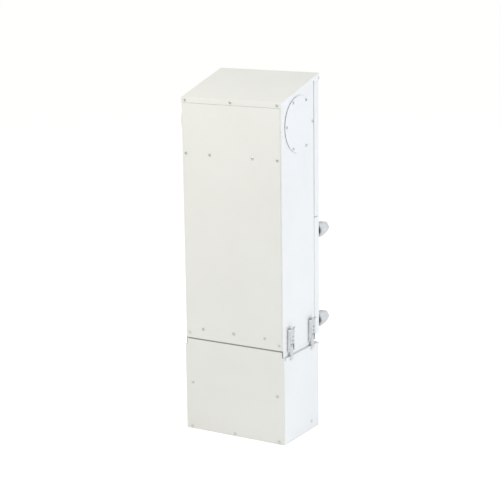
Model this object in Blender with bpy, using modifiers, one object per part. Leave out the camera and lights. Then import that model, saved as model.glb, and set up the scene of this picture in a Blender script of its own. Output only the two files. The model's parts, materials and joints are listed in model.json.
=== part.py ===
"""Slim dust collector cabinet in folded sheet steel.

A fan and a hanging filter cartridge stand over a latched collecting bin.
Metres, +Z up. The front faces -Y, and the origin is the middle of the
underside of the bin.
"""

import math

import bmesh
import bpy
from mathutils import Matrix, Vector

# Cabinet
WIDTH = 0.330  # across the side panels
DEPTH = 0.218  # front plate to the rear face of the door
REAR_HEIGHT = 1.060  # top of the lid at its rear edge
LID_FALL = 0.063  # from the lid's rear edge down to its front edge
SHEET = 0.0015
GAP = 0.0003  # between pieces that touch
FLANGE = 0.027  # inward flanges of the side panels
CORNER_STRIP = 0.005  # side panel corner left showing beside the front panel
PANEL_CORNER = 0.004

# Heights of the seams
SEAM_Z = 0.282
SEAM = 0.004
BIN_DROP = 0.020  # seam down to the bin's top
BIN_SEAL = 0.0032
FAN_ROOM = 0.212  # partition plate up to the lid's rear edge
PARTITION_DROP = 0.024
HOPPER_WALL = 0.061
LIP = 0.015
LID_SIDE = 0.010
LID_REAR = 0.020
PANEL_GAP = 0.0006
LID_CLEAR = 0.00076  # from the lid's sheet down to the side panels' upper edges
REAR_CLEAR = 0.0013  # from the lid's sheet down to the rear panel's upper edge
DOOR_GAP = 0.0015  # door to rear panel
RAIL_DROP = 0.014
RAIL_RISE = 0.004
SEAL_EDGE = 0.009
SEAL_CORNER = 0.004
SEAM_END = 0.008
SEAM_IN = 0.0006
SCREW_EDGE = 0.015
SCREW_INNER_X = 0.071
HOPPER_SCREW_X = 0.105
LID_REAR_X = 0.120
LID_REAR_RISE = 0.0045
REAR_SCREW_LOW = 0.045
REAR_SCREW_HIGH = 0.060
MOUTH_LIP_X = 0.035
MOUTH_LIP_Y = 0.028

# Rear door
DOOR_PAN = 0.027
DOOR_RISE = 0.004  # above the seam
DOOR_HEIGHT = 0.355
DOOR_LIP = 0.026
DOOR_SEAL = 0.0022
GASKET_IN = 0.002
GASKET_EDGE = 0.023
GASKET_CORNER = 0.003
STRIP_HALF = 0.009
STRIP_END = 0.012
KNOB_INSET_X = 0.015
KNOB_INSETS_Z = {"lower": 0.0375, "upper": 0.045}  # from the door's ends
KNOB_RADIUS = 0.0225
KNOB_BODY = 0.054
KNOB_NECK = 0.009
KNOB_LOBES = 6
KNOB_COLLAR = 0.7  # radii along the knob, as shares of its own
KNOB_SHOULDER = 0.97
KNOB_END = 0.78
KNOB_TIP = 0.62
KNOB_SOCKET = 0.013
STUD_RADIUS = 0.004
STUD_CLEARANCE = 0.0005
NUT_LENGTH = 0.007

# Ports
PORT_Y = 0.099  # from the front plate
PORT_RISE = 0.078  # above the partition plate
PORT_HOLE = 0.060
PORT_COVER = 0.081
PORT_CIRCLE = 0.075
PORT_SEAL = 0.001
PORT_SEAL_BORE = 0.064
INLET_Y = 0.095
INLET_RISE = 0.148  # above the seam
INLET_HOLE = 0.0485
INLET_FLANGE = 0.064
INLET_CIRCLE = 0.0575
SPIGOT_LENGTH = 0.026
PORT_SCREWS = 6

# Fan and filter
FAN_Y = 0.095
INLET_RING_HOLE = 0.050
RING_FLANGE = 0.010
RING_THROAT = 0.004  # the throat stands this far in from the hole
RING_RISE = 0.008
RING_SHEET = 0.002
TIE_BAR_HALF = 0.010
IMPELLER_RADIUS = 0.078
IMPELLER_RISE = 0.014  # above the partition plate
IMPELLER_HEIGHT = 0.036
BLADES = 9
BLADE_LENGTH = 0.044
BLADE_SHEET = 0.002
BLADE_MIDDLE = 0.049
BLADE_LEAN = 35
HUB_RADIUS = 0.014
HUB_HEIGHT = 0.016
SHAFT_RADIUS = 0.006
SHAFT_CLEARANCE = 0.0005
MOTOR_RADIUS = 0.048
MOTOR_RISE = 0.0665  # above the partition plate
MOTOR_HEIGHT = 0.068
MOTOR_BELL = 0.004
MOTOR_SHOULDER = 0.010
SHAFT_END = 0.004
SHAFT_FOOT = 0.014
BRIDGE_FOOT = 0.018
BRIDGE_HOLE = 0.006
BRIDGE_RISE = 0.062  # above the partition plate
BRIDGE_HALF = 0.096
BRIDGE_DEPTH = 0.070
FILTER_RADIUS = 0.070
FILTER_CORE = 0.050
FILTER_CAP = 0.076
FILTER_HEIGHT = 0.290
CAP_HEIGHT = 0.010
CAP_HOLE = 0.044
PLEAT_OUT = 0.008
PLEAT_IN = 0.006
ROD_TOP = 0.010  # above the partition
ROD_FOOT = 0.022  # below the lower cap
WING_TIP = 0.021
WING_ROOT = 0.0068
WING_HALF = 0.0015
WING_LOW = 0.016
WING_HIGH = 0.003
PLEATS = 20
ROD_RADIUS = 0.004
ROD_CLEARANCE = 0.0004

# Collecting bin
BIN_SPREAD = 0.003  # the bin's walls stand this far outside the side panels
BIN_DEPTH = 0.208
BIN_LIP = 0.012
BIN_FRAME = 0.030
FLOOR_WALL = 0.036
PLATE_SPREAD = 0.004
NOTCH = 0.004
RIM_OUT = 0.0037
RIM_HEIGHT = 0.008
BIN_FOOT = 0.0005
BIN_FOOT_SCREW_Z = 0.009
BIN_MID_SCREW_Z = 0.146
BIN_MID_SCREW_IN = 0.020
BIN_SIDE_SCREW_Y = 0.161
BIN_SIDE_SCREW_Z = 0.027
RIM_START = 0.006

# Draw latches
LATCH_YS = {"front": 0.036, "rear": 0.161}  # from the front plate
LATCH_HALF = 0.0122
LATCH_PIVOT_RISE = 0.002  # above the seam
LATCH_PIVOT_OUT = 0.007  # from the side panel
LATCH_OUT = 0.0115  # outer face of the lever
LATCH_RISE = 0.068  # above the seam
LATCH_FLARE = 0.003
LINK_RISE = 0.009
LINK_IN = 0.001
LINK_HALF = 0.0065
LINK_SHEET = 0.0016
LINK_EYE = 0.0032
PIN_RADIUS = 0.0016
PIN_CLEARANCE = 0.0003
BASE_HALF = 0.0100
BASE_DROP = 0.010  # below the seam
BASE_RISE = 0.060  # above the seam
EAR = 0.005
HOOK_GAP = 0.0004
STUB = 0.006  # pivot stubs staked into the ears
RIVET = 0.007
RIVET_STEP = 0.0055
RIVET_DROP = 0.006
STUB_IN = 0.002
LEVER_WALL = 0.0036  # lever walls reach this far in from the pivot
LEVER_FOOT = 0.016  # pivot to the lever plate
LEVER_BEND = 0.007
HOOK_OVER = 0.0012  # hook tip to the bin wall

# Screws
SCREW_HEAD = 0.0042
SCREW_RISE = 0.0022
SCREW_SHANK = 0.0018
SCREW_LENGTH = 0.008
SCREW_HOLE = 0.0022

FRONT_HEIGHT = REAR_HEIGHT - LID_FALL
PARTITION_Z = REAR_HEIGHT - FAN_ROOM
PORT_Z = PARTITION_Z + PORT_RISE
IMPELLER_BASE = PARTITION_Z + IMPELLER_RISE
MOTOR_BASE = PARTITION_Z + MOTOR_RISE
BRIDGE_Z = PARTITION_Z + BRIDGE_RISE
BIN_TOP = SEAM_Z - BIN_DROP
DOOR_BOTTOM = SEAM_Z + DOOR_RISE
INLET_Z = SEAM_Z + INLET_RISE
LATCH_PIVOT_Z = SEAM_Z + LATCH_PIVOT_RISE
LATCH_TOP = SEAM_Z + LATCH_RISE
BASE_BOTTOM = SEAM_Z - BASE_DROP
BASE_TOP = SEAM_Z + BASE_RISE
FRONT = -DEPTH / 2
REAR = DEPTH / 2
SIDE_X = WIDTH / 2
BODY_FRONT = FRONT + SHEET + GAP
FRAME_FRONT = BODY_FRONT + SHEET + GAP
LIP_FACE = REAR - DOOR_PAN
BODY_REAR = LIP_FACE - DOOR_SEAL - 2 * GAP
FRAME_REAR = BODY_REAR - SHEET - GAP
FRAME_X = SIDE_X - SHEET - GAP
HOPPER_REAR = FRAME_REAR - NUT_LENGTH - GAP
SKIRT_Z = BIN_TOP + BIN_SEAL + 2 * GAP
PANEL_BOTTOM = SEAM_Z + SEAM / 2
BIN_PLATE_TOP = SEAM_Z - SEAM / 2
PANEL_TOP = FRONT_HEIGHT - LIP - PANEL_GAP
DOOR_TOP = DOOR_BOTTOM + DOOR_HEIGHT
KNOB_X = SIDE_X - KNOB_INSET_X
KNOB_ZS = {
    "lower": DOOR_BOTTOM + KNOB_INSETS_Z["lower"],
    "upper": DOOR_TOP - KNOB_INSETS_Z["upper"],
}
BIN_X = SIDE_X + BIN_SPREAD
RIM_X = BIN_X + GAP + RIM_OUT
SIDES = {"left": -1, "right": 1}

FRONT_TURN = (math.pi / 2, 0, 0)  # flat outlines that face the front
SIDE_TURN = (math.pi / 2, 0, math.pi / 2)  # flat outlines that face the side


def roof_z(y):
    """Height of the lid's outer surface at y."""
    return FRONT_HEIGHT + (REAR_HEIGHT - FRONT_HEIGHT) * (y - FRONT) / DEPTH


# ---------------------------------------------------------------- scene

for old in list(bpy.data.objects):
    bpy.data.objects.remove(old)

PARTS = bpy.data.collections.new("dust_collector")
CUTTERS = bpy.data.collections.new("cutters")
bpy.context.scene.collection.children.link(PARTS)
bpy.context.scene.collection.children.link(CUTTERS)


def make_material(name, colour, roughness, metallic):
    material = bpy.data.materials.new(name)
    material.use_nodes = True
    shader = material.node_tree.nodes["Principled BSDF"]
    shader.inputs["Base Color"].default_value = (*colour, 1)
    shader.inputs["Roughness"].default_value = roughness
    shader.inputs["Metallic"].default_value = metallic
    return material


POWDER = make_material("powder_coat", (0.84, 0.83, 0.80), 0.45, 0.0)
ZINC = make_material("zinc_steel", (0.62, 0.62, 0.63), 0.35, 1.0)
DARK = make_material("dark_foam", (0.03, 0.03, 0.03), 0.9, 0.0)
LIGHT = make_material("light_foam", (0.72, 0.72, 0.70), 0.9, 0.0)
GREY = make_material("grey_plastic", (0.62, 0.62, 0.62), 0.5, 0.0)
MOTOR = make_material("motor_paint", (0.20, 0.22, 0.24), 0.5, 0.2)
PAPER = make_material("filter_paper", (0.80, 0.77, 0.68), 0.95, 0.0)
RUBBER = make_material("cap_rubber", (0.09, 0.09, 0.09), 0.7, 0.0)


# ---------------------------------------------------------------- tools


def add(name, data, material, location=(0, 0, 0), rotation=(0, 0, 0)):
    obj = bpy.data.objects.new(name, data)
    data.materials.append(material)
    obj.location = location
    obj.rotation_euler = rotation
    PARTS.objects.link(obj)
    return obj


def mesh_from(bm, name):
    mesh = bpy.data.meshes.new(name)
    bm.to_mesh(mesh)
    bm.free()
    return mesh


def box(name, low, high, material):
    """A solid box between two corners."""
    low, high = Vector(low), Vector(high)
    bm = bmesh.new()
    bmesh.ops.create_cube(bm, size=1)
    bmesh.ops.scale(bm, vec=high - low, verts=bm.verts)
    return add(name, mesh_from(bm, name), material, (low + high) / 2)


def thicken(obj, thickness=SHEET):
    """Gives an open surface its thickness, on the inner side."""
    solid = obj.modifiers.new("sheet", "SOLIDIFY")
    solid.thickness = thickness
    solid.offset = -1
    solid.use_even_offset = True
    solid.use_quality_normals = True
    return obj


def facing(bm, direction):
    """The face whose normal points most nearly along direction."""
    bm.normal_update()
    return max(bm.faces, key=lambda f: f.normal.dot(Vector(direction)))


def sheet_box(name, low, high, open_sides, windows, material):
    """A box folded from sheet. open_sides are left off, and windows gives
    the width of the inward lip round each side that has a window."""
    low, high = Vector(low), Vector(high)
    bm = bmesh.new()
    bmesh.ops.create_cube(bm, size=1)
    bmesh.ops.scale(bm, vec=high - low, verts=bm.verts)
    for direction, lip in windows:
        face = facing(bm, direction)
        bmesh.ops.inset_region(bm, faces=[face], thickness=lip)
        bmesh.ops.delete(bm, geom=[face], context="FACES")
    for direction in open_sides:
        bmesh.ops.delete(bm, geom=[facing(bm, direction)], context="FACES")
    return thicken(add(name, mesh_from(bm, name), material, (low + high) / 2))


def folded(name, section, levels, inside, material, drop=None):
    """A folded strip. section is its outer line in plan and levels are
    heights, each a number or a function of y. drop says which faces go."""
    bm = bmesh.new()
    line = [bm.verts.new((x, y, 0)) for x, y in section]
    edges = [bm.edges.new(pair) for pair in zip(line, line[1:])]
    for vert in line:
        vert.co.z = height_of(levels[0], vert.co.y)
    for level in levels[1:]:
        grown = bmesh.ops.extrude_edge_only(bm, edges=edges)["geom"]
        edges = [e for e in grown if isinstance(e, bmesh.types.BMEdge)]
        for vert in {v for e in edges for v in e.verts}:
            vert.co.z = height_of(level, vert.co.y)
    bmesh.ops.recalc_face_normals(bm, faces=bm.faces)
    core = Vector(inside)
    outward = sum((f.calc_center_median() - core).dot(f.normal) * f.calc_area() for f in bm.faces)
    if outward < 0:
        bmesh.ops.reverse_faces(bm, faces=bm.faces)
    if drop:
        gone = [f for f in bm.faces if drop(f.calc_center_median())]
        bmesh.ops.delete(bm, geom=gone, context="FACES")
    return thicken(add(name, mesh_from(bm, name), material))


def height_of(level, y):
    return level(y) if callable(level) else level


def circle(x, y, radius, count=16):
    """Points of a circle in an outline's own plane."""
    turns = [2 * math.pi * i / count for i in range(count)]
    return [(x + radius * math.cos(t), y + radius * math.sin(t)) for t in turns]


def rounded(x0, y0, x1, y1, radius, count=5):
    """Points of a rectangle with round corners."""
    corners = ((x1, y1, 0), (x0, y1, 1), (x0, y0, 2), (x1, y0, 3))
    points = []
    for cx, cy, quarter in corners:
        mx = cx - radius if cx == x1 else cx + radius
        my = cy - radius if cy == y1 else cy + radius
        for i in range(count):
            turn = math.pi / 2 * (quarter + i / (count - 1))
            points.append((mx + radius * math.cos(turn), my + radius * math.sin(turn)))
    return points


def flat(name, outlines, thickness, location, rotation, material):
    """A plate from a flat outline, with the other outlines as holes."""
    curve = bpy.data.curves.new(name, "CURVE")
    curve.dimensions = "2D"
    curve.fill_mode = "BOTH"
    curve.extrude = thickness / 2
    for outline in outlines:
        spline = curve.splines.new("POLY")
        spline.points.add(len(outline) - 1)
        spline.use_cyclic_u = True
        for point, (x, y) in zip(spline.points, outline):
            point.co = (x, y, 0, 1)
    return add(name, curve, material, location, rotation)


def turned_mesh(name, profile, segments=24, ring=False):
    """A turned body. profile runs down the outer side, as (radius, height),
    and is closed on itself for a ring."""
    mesh = bpy.data.meshes.new(name)
    count = len(profile)
    edges = [(i, i + 1) for i in range(count - 1)]
    if ring:
        edges.append((count - 1, 0))
    mesh.from_pydata([(r, 0, z) for r, z in profile], edges, [])
    blank = bpy.data.objects.new(name, mesh)
    CUTTERS.objects.link(blank)
    screw = blank.modifiers.new("turn", "SCREW")
    screw.steps = segments
    screw.render_steps = segments
    screw.use_merge_vertices = True
    screw.merge_threshold = 0.00001
    bpy.context.view_layer.update()
    ready = blank.evaluated_get(bpy.context.evaluated_depsgraph_get())
    result = bpy.data.meshes.new_from_object(ready)
    bpy.data.objects.remove(blank)
    result.name = name
    result.shade_smooth()
    result.set_sharp_from_angle(angle=math.radians(35))
    return result


def turned(name, profile, material, location=(0, 0, 0), rotation=(0, 0, 0), **how):
    return add(name, turned_mesh(name, profile, **how), material, location, rotation)


def along(direction):
    """Turns +Z onto direction."""
    return Vector((0, 0, 1)).rotation_difference(Vector(direction)).to_matrix().to_4x4()


def fastener(name, mesh, place):
    """One of several like pieces, turned to its place."""
    position, direction = place
    obj = add(name, mesh.copy(), ZINC, position)
    obj.rotation_euler = along(direction).to_euler()
    return obj


def drill(obj, holes, segments=8):
    """Cuts round holes: each is (centre, direction, radius, length)."""
    bm = bmesh.new()
    for centre, direction, radius, length in holes:
        matrix = Matrix.Translation(centre) @ along(direction)
        bmesh.ops.create_cone(
            bm,
            cap_ends=True,
            segments=segments,
            radius1=radius,
            radius2=radius,
            depth=length,
            matrix=matrix,
        )
    return cut(obj, mesh_from(bm, obj.name + "_holes"))


def cut(obj, mesh, operation="DIFFERENCE"):
    """Cuts obj with a mesh in world places, or joins the mesh to it."""
    cutter = bpy.data.objects.new(mesh.name, mesh)
    cutter.hide_render = True
    cutter.display_type = "WIRE"
    CUTTERS.objects.link(cutter)
    boolean = obj.modifiers.new("cut", "BOOLEAN")
    boolean.operation = operation
    boolean.solver = "EXACT"
    boolean.object = cutter
    return obj


def add_rod(bm, centre, direction, radius, length, segments=12):
    """A round bar in a mesh that is being built."""
    matrix = Matrix.Translation(centre) @ along(direction)
    sizes = {"radius1": radius, "radius2": radius, "depth": length}
    bmesh.ops.create_cone(bm, cap_ends=True, segments=segments, matrix=matrix, **sizes)


def box_mesh(name, corners):
    """One mesh of boxes that stay apart, each between two corners."""
    bm = bmesh.new()
    for low, high in corners:
        low, high = Vector(low), Vector(high)
        matrix = Matrix.Translation((low + high) / 2) @ Matrix.Diagonal((*(high - low), 1))
        bmesh.ops.create_cube(bm, size=1, matrix=matrix)
    return mesh_from(bm, name)


def joint_empty(name, place, parent=None):
    empty = bpy.data.objects.new(name, None)
    PARTS.objects.link(empty)
    empty.location = Vector(place)
    if parent:
        empty.parent = parent
        empty.location -= world_place(parent)
    return empty


def world_place(empty):
    place = empty.location.copy()
    return place + world_place(empty.parent) if empty.parent else place


def hang(empty, *pieces):
    """Parents pieces to an empty on their joint's axis."""
    for piece in pieces:
        piece.location = Vector(piece.location) - world_place(empty)
        piece.parent = empty


# ---------------------------------------------------------------- screws

SCREW_TOP = ((0, SCREW_RISE), (SCREW_HEAD * 0.8, SCREW_RISE * 0.8), (SCREW_HEAD, 0.0))


def screw_mesh(name, length):
    """A domed screw that points down -Z, with its head's underside at 0."""
    shank = ((SCREW_SHANK, 0.0), (SCREW_SHANK, -length), (0, -length))
    return turned_mesh(name, (*SCREW_TOP, *shank), segments=10)


def seat(position, direction):
    """A screw's place, just clear of the face that its head sits on."""
    return Vector(position) + Vector(direction) * GAP, direction


def holes_for(places, radius=SCREW_HOLE, reach=0.02):
    """Clearance holes for screws at these places."""
    return [(position, direction, radius, 2 * reach) for position, direction in places]


LIP_SCREW_Z = FRONT_HEIGHT - LIP / 2
SCREW_X = SIDE_X - FLANGE / 2 + 0.0005
PARTITION_SCREW_Z = PARTITION_Z - PARTITION_DROP / 2
HOPPER_SCREW_Z = SKIRT_Z + HOPPER_WALL - 0.012
CORNER_SCREW_Z = PANEL_BOTTOM + 0.016
LID_SIDE_OUT = SIDE_X + GAP + SHEET

front = (0, -1, 0)
rear = (0, 1, 0)

lip_places = [((x, FRONT, LIP_SCREW_Z), front) for x in (-SCREW_X, 0, SCREW_X)]
partition_places = [
    ((x, FRONT, PARTITION_SCREW_Z), front) for x in (-SCREW_X, -SCREW_INNER_X, SCREW_INNER_X, SCREW_X)
]
hopper_places = [((x, FRONT, HOPPER_SCREW_Z), front) for x in (-HOPPER_SCREW_X, 0, HOPPER_SCREW_X)]
corner_places = [((x, FRONT, CORNER_SCREW_Z), front) for x in (-SCREW_X, SCREW_X)]
lid_rear_places = [
    ((x, REAR + GAP + SHEET, REAR_HEIGHT - LID_REAR + LID_REAR_RISE), rear)
    for x in (-LID_REAR_X, LID_REAR_X)
]
rear_panel_places = [
    ((side * KNOB_X, REAR, z), rear)
    for side in SIDES.values()
    for z in (
        DOOR_TOP + REAR_SCREW_LOW,
        (DOOR_TOP + REAR_HEIGHT) / 2,
        REAR_HEIGHT - REAR_SCREW_HIGH,
    )
]


def port_places(side, y, z, radius, face):
    """Screw places on a circle on one side panel."""
    places = []
    for i in range(PORT_SCREWS):
        turn = 2 * math.pi * i / PORT_SCREWS
        spot = (side * face, FRONT + y + radius * math.cos(turn), z + radius * math.sin(turn))
        places.append((spot, (side, 0, 0)))
    return places


COVER_OUT = SIDE_X + PORT_SEAL + SHEET + 2 * GAP
SPIGOT_OUT = SIDE_X + SHEET + GAP
cover_places = port_places(1, PORT_Y, PORT_Z, PORT_CIRCLE, COVER_OUT)
outlet_places = port_places(-1, PORT_Y, PORT_Z, PORT_CIRCLE, SPIGOT_OUT)
inlet_places = port_places(-1, INLET_Y, INLET_Z, INLET_CIRCLE, SPIGOT_OUT)


# ---------------------------------------------------------------- shell


def latch_rivet_places(side):
    spots = []
    for y in LATCH_YS.values():
        for step in (-RIVET_STEP, RIVET_STEP):
            spot = (side * (SIDE_X + GAP + SHEET), FRONT + y + step, BASE_TOP - RIVET_DROP)
            spots.append((spot, (side, 0, 0)))
    return spots


def make_side_panel(word):
    """A side panel with front and rear flanges and a skirt at its foot."""
    side = SIDES[word]
    inner = side * (SIDE_X - FLANGE)
    section = (
        (inner, BODY_FRONT),
        (side * SIDE_X, BODY_FRONT),
        (side * SIDE_X, BODY_REAR),
        (inner, BODY_REAR),
    )
    panel = folded(
        word + "_side_panel",
        section,
        (SKIRT_Z, PANEL_BOTTOM, lambda y: roof_z(y) - SHEET - LID_CLEAR),
        (0, 0, FRONT_HEIGHT / 2),
        POWDER,
        drop=lambda c: c.z < PANEL_BOTTOM and c.y < BODY_FRONT + 0.001,
    )
    own = [p for p in lip_places + partition_places + corner_places if p[0][0] * side > 0.1]
    holes = holes_for(own)
    holes += holes_for([p for p in rear_panel_places if p[0][0] * side > 0], reach=0.05)
    holes += holes_for(latch_rivet_places(side))
    port = (side * SIDE_X, FRONT + PORT_Y, PORT_Z)
    holes += holes_for(cover_places if side > 0 else outlet_places + inlet_places)
    for z in KNOB_ZS.values():
        bore = STUD_RADIUS + STUD_CLEARANCE
        holes.append(((side * KNOB_X, BODY_REAR, z), rear, bore, 0.012))
    drill(panel, holes)
    openings = [(port, (1, 0, 0), PORT_HOLE, 0.02)]
    if side < 0:
        inlet = (-SIDE_X, FRONT + INLET_Y, INLET_Z)
        openings.append((inlet, (1, 0, 0), INLET_HOLE, 0.02))
    return drill(panel, openings, segments=24)


def make_front_panel():
    half = SIDE_X - CORNER_STRIP
    outline = rounded(-half, PANEL_BOTTOM, half, PANEL_TOP, PANEL_CORNER)
    places = partition_places + hopper_places + corner_places
    holes = [circle(p[0], p[2], SCREW_HOLE, 8) for p, _ in places]
    spot = (0, FRONT + SHEET / 2, 0)
    return flat("front_panel", [outline, *holes], SHEET, spot, FRONT_TURN, POWDER)


def make_roof_lid():
    """The sloped lid: a deep lip in front, shallow sides and a rear flange."""
    low = Vector((-LID_SIDE_OUT, FRONT, 0))
    high = Vector((LID_SIDE_OUT, REAR + GAP + SHEET, 1))
    bm = bmesh.new()
    bmesh.ops.create_cube(bm, size=1)
    for vert in bm.verts:
        vert.co = Vector(low[i] + (high[i] - low[i]) * (vert.co[i] + 0.5) for i in range(3))
        y = vert.co.y
        lip_foot = FRONT_HEIGHT - LIP if y < 0 else REAR_HEIGHT - LID_REAR
        vert.co.z = roof_z(y) if vert.co.z > 0.5 else lip_foot
    bmesh.ops.delete(bm, geom=[facing(bm, (0, 0, -1))], context="FACES")
    rise = (REAR_HEIGHT - FRONT_HEIGHT) / DEPTH
    normal = Vector((0, -rise, 1)).normalized()
    fold = Vector((0, FRONT, FRONT_HEIGHT - LID_SIDE))
    everything = bm.verts[:] + bm.edges[:] + bm.faces[:]
    bmesh.ops.bisect_plane(bm, geom=everything, plane_co=fold, plane_no=normal)
    bm.normal_update()
    below = [
        f
        for f in bm.faces
        if abs(f.normal.x) > 0.9 and (f.calc_center_median() - fold).dot(normal) < 0
    ]
    bmesh.ops.delete(bm, geom=below, context="FACES")
    lid = thicken(add("roof_lid", mesh_from(bm, "roof_lid"), POWDER))
    return drill(lid, holes_for(lip_places + lid_rear_places, reach=0.006))


def make_top_rail():
    """The bar behind the lid's lip that takes the lip's screws."""
    low = (-FRAME_X, FRAME_FRONT, LIP_SCREW_Z - RAIL_DROP)
    high = (FRAME_X, FRAME_FRONT + SHEET, LIP_SCREW_Z + RAIL_RISE)
    return drill(box("top_rail", low, high, ZINC), holes_for(lip_places))


def make_rear_panel():
    low = (-SIDE_X, LIP_FACE, DOOR_TOP + DOOR_GAP)
    high = (SIDE_X, REAR, roof_z(LIP_FACE) - SHEET - REAR_CLEAR)
    panel = sheet_box("rear_panel", low, high, [], [((0, -1, 0), DOOR_LIP)], POWDER)
    drill(panel, holes_for(rear_panel_places, reach=0.05))
    drill(panel, holes_for(lid_rear_places, reach=0.006))
    return drill(panel, [(GLAND, rear, GLAND_SHANK + GAP, 0.01)], segments=16)


def tray_walls(name, plate_z, wall_end, back, openings, places):
    """A shelf with folded walls that fits between the side panels."""
    low = (-FRAME_X, FRAME_FRONT, min(plate_z, wall_end))
    high = (FRAME_X, back, max(plate_z, wall_end))
    away = (0, 0, 1 if wall_end > plate_z else -1)
    tray = sheet_box(name, low, high, [away], [], ZINC)
    drill(tray, holes_for(places))
    return openings(tray)


def make_partition():
    """The shelf under the fan, with the fan's inlet hole."""
    centre = (0, FRONT + FAN_Y, PARTITION_Z)

    def opening(tray):
        return drill(tray, [(centre, (0, 0, 1), INLET_RING_HOLE, 0.01)], segments=24)

    foot = PARTITION_Z - PARTITION_DROP
    name = "partition_plate"
    return tray_walls(name, PARTITION_Z, foot, FRAME_REAR, opening, partition_places)


def make_hopper_frame():
    """The lower frame, open to the bin."""

    def opening(tray):
        low = (-FRAME_X + MOUTH_LIP_X, FRAME_FRONT + MOUTH_LIP_Y, SKIRT_Z - 0.01)
        high = (FRAME_X - MOUTH_LIP_X, HOPPER_REAR - MOUTH_LIP_Y, SKIRT_Z + 0.01)
        return cut(tray, box_mesh("hopper_opening", [(low, high)]))

    places = hopper_places + corner_places
    top = SKIRT_Z + HOPPER_WALL
    return tray_walls("hopper_frame", SKIRT_Z, top, HOPPER_REAR, opening, places)


def make_seals():
    """Foam under the hopper frame, and the dark strip in the front seam."""
    edge = SEAL_EDGE
    outer = rounded(-FRAME_X, FRAME_FRONT, FRAME_X, HOPPER_REAR, SEAL_CORNER, 3)
    inner = rounded(
        -FRAME_X + edge, FRAME_FRONT + edge, FRAME_X - edge, HOPPER_REAR - edge, SEAL_CORNER, 3
    )
    middle = (0, 0, BIN_TOP + GAP + BIN_SEAL / 2)
    flat("bin_gasket", [outer, inner], BIN_SEAL, middle, (0, 0, 0), LIGHT)
    low = (-SIDE_X + SEAM_END, FRONT + SEAM_IN, BIN_PLATE_TOP + GAP)
    high = (SIDE_X - SEAM_END, FRAME_FRONT - GAP, PANEL_BOTTOM - GAP)
    box("seam_seal", low, high, DARK)


# ---------------------------------------------------------------- ports


def make_ports():
    """The screwed cover on the right, and two spigots on the left."""
    rows = [circle(p[1], p[2], SCREW_HOLE, 8) for p, _ in cover_places]
    rim = circle(FRONT + PORT_Y, PORT_Z, PORT_COVER, 32)
    bore = circle(FRONT + PORT_Y, PORT_Z, PORT_SEAL_BORE, 28)
    seal_x = SIDE_X + GAP + PORT_SEAL / 2
    flat("port_gasket", [rim, bore, *rows], PORT_SEAL, (seal_x, 0, 0), SIDE_TURN, DARK)
    cover_x = COVER_OUT - SHEET / 2
    flat("port_cover", [rim, *rows], SHEET, (cover_x, 0, 0), SIDE_TURN, POWDER)
    make_spigot("outlet_spigot", PORT_Y, PORT_Z, PORT_HOLE, PORT_COVER, outlet_places)
    make_spigot("inlet_spigot", INLET_Y, INLET_Z, INLET_HOLE, INLET_FLANGE, inlet_places)


def make_spigot(name, y, z, bore, flange, places):
    """A flanged tube for a hose, on the left side."""
    profile = (
        (bore + SHEET, SPIGOT_LENGTH),
        (bore + SHEET, SHEET),
        (flange, SHEET),
        (flange, 0),
        (bore, 0),
        (bore, SPIGOT_LENGTH),
    )
    spot = (-SIDE_X - GAP, FRONT + y, z)
    turn = (0, -math.pi / 2, 0)
    spigot = turned(name, profile, POWDER, spot, turn, segments=24, ring=True)
    return drill(spigot, holes_for(places))


# ---------------------------------------------------------------- fan


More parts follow.
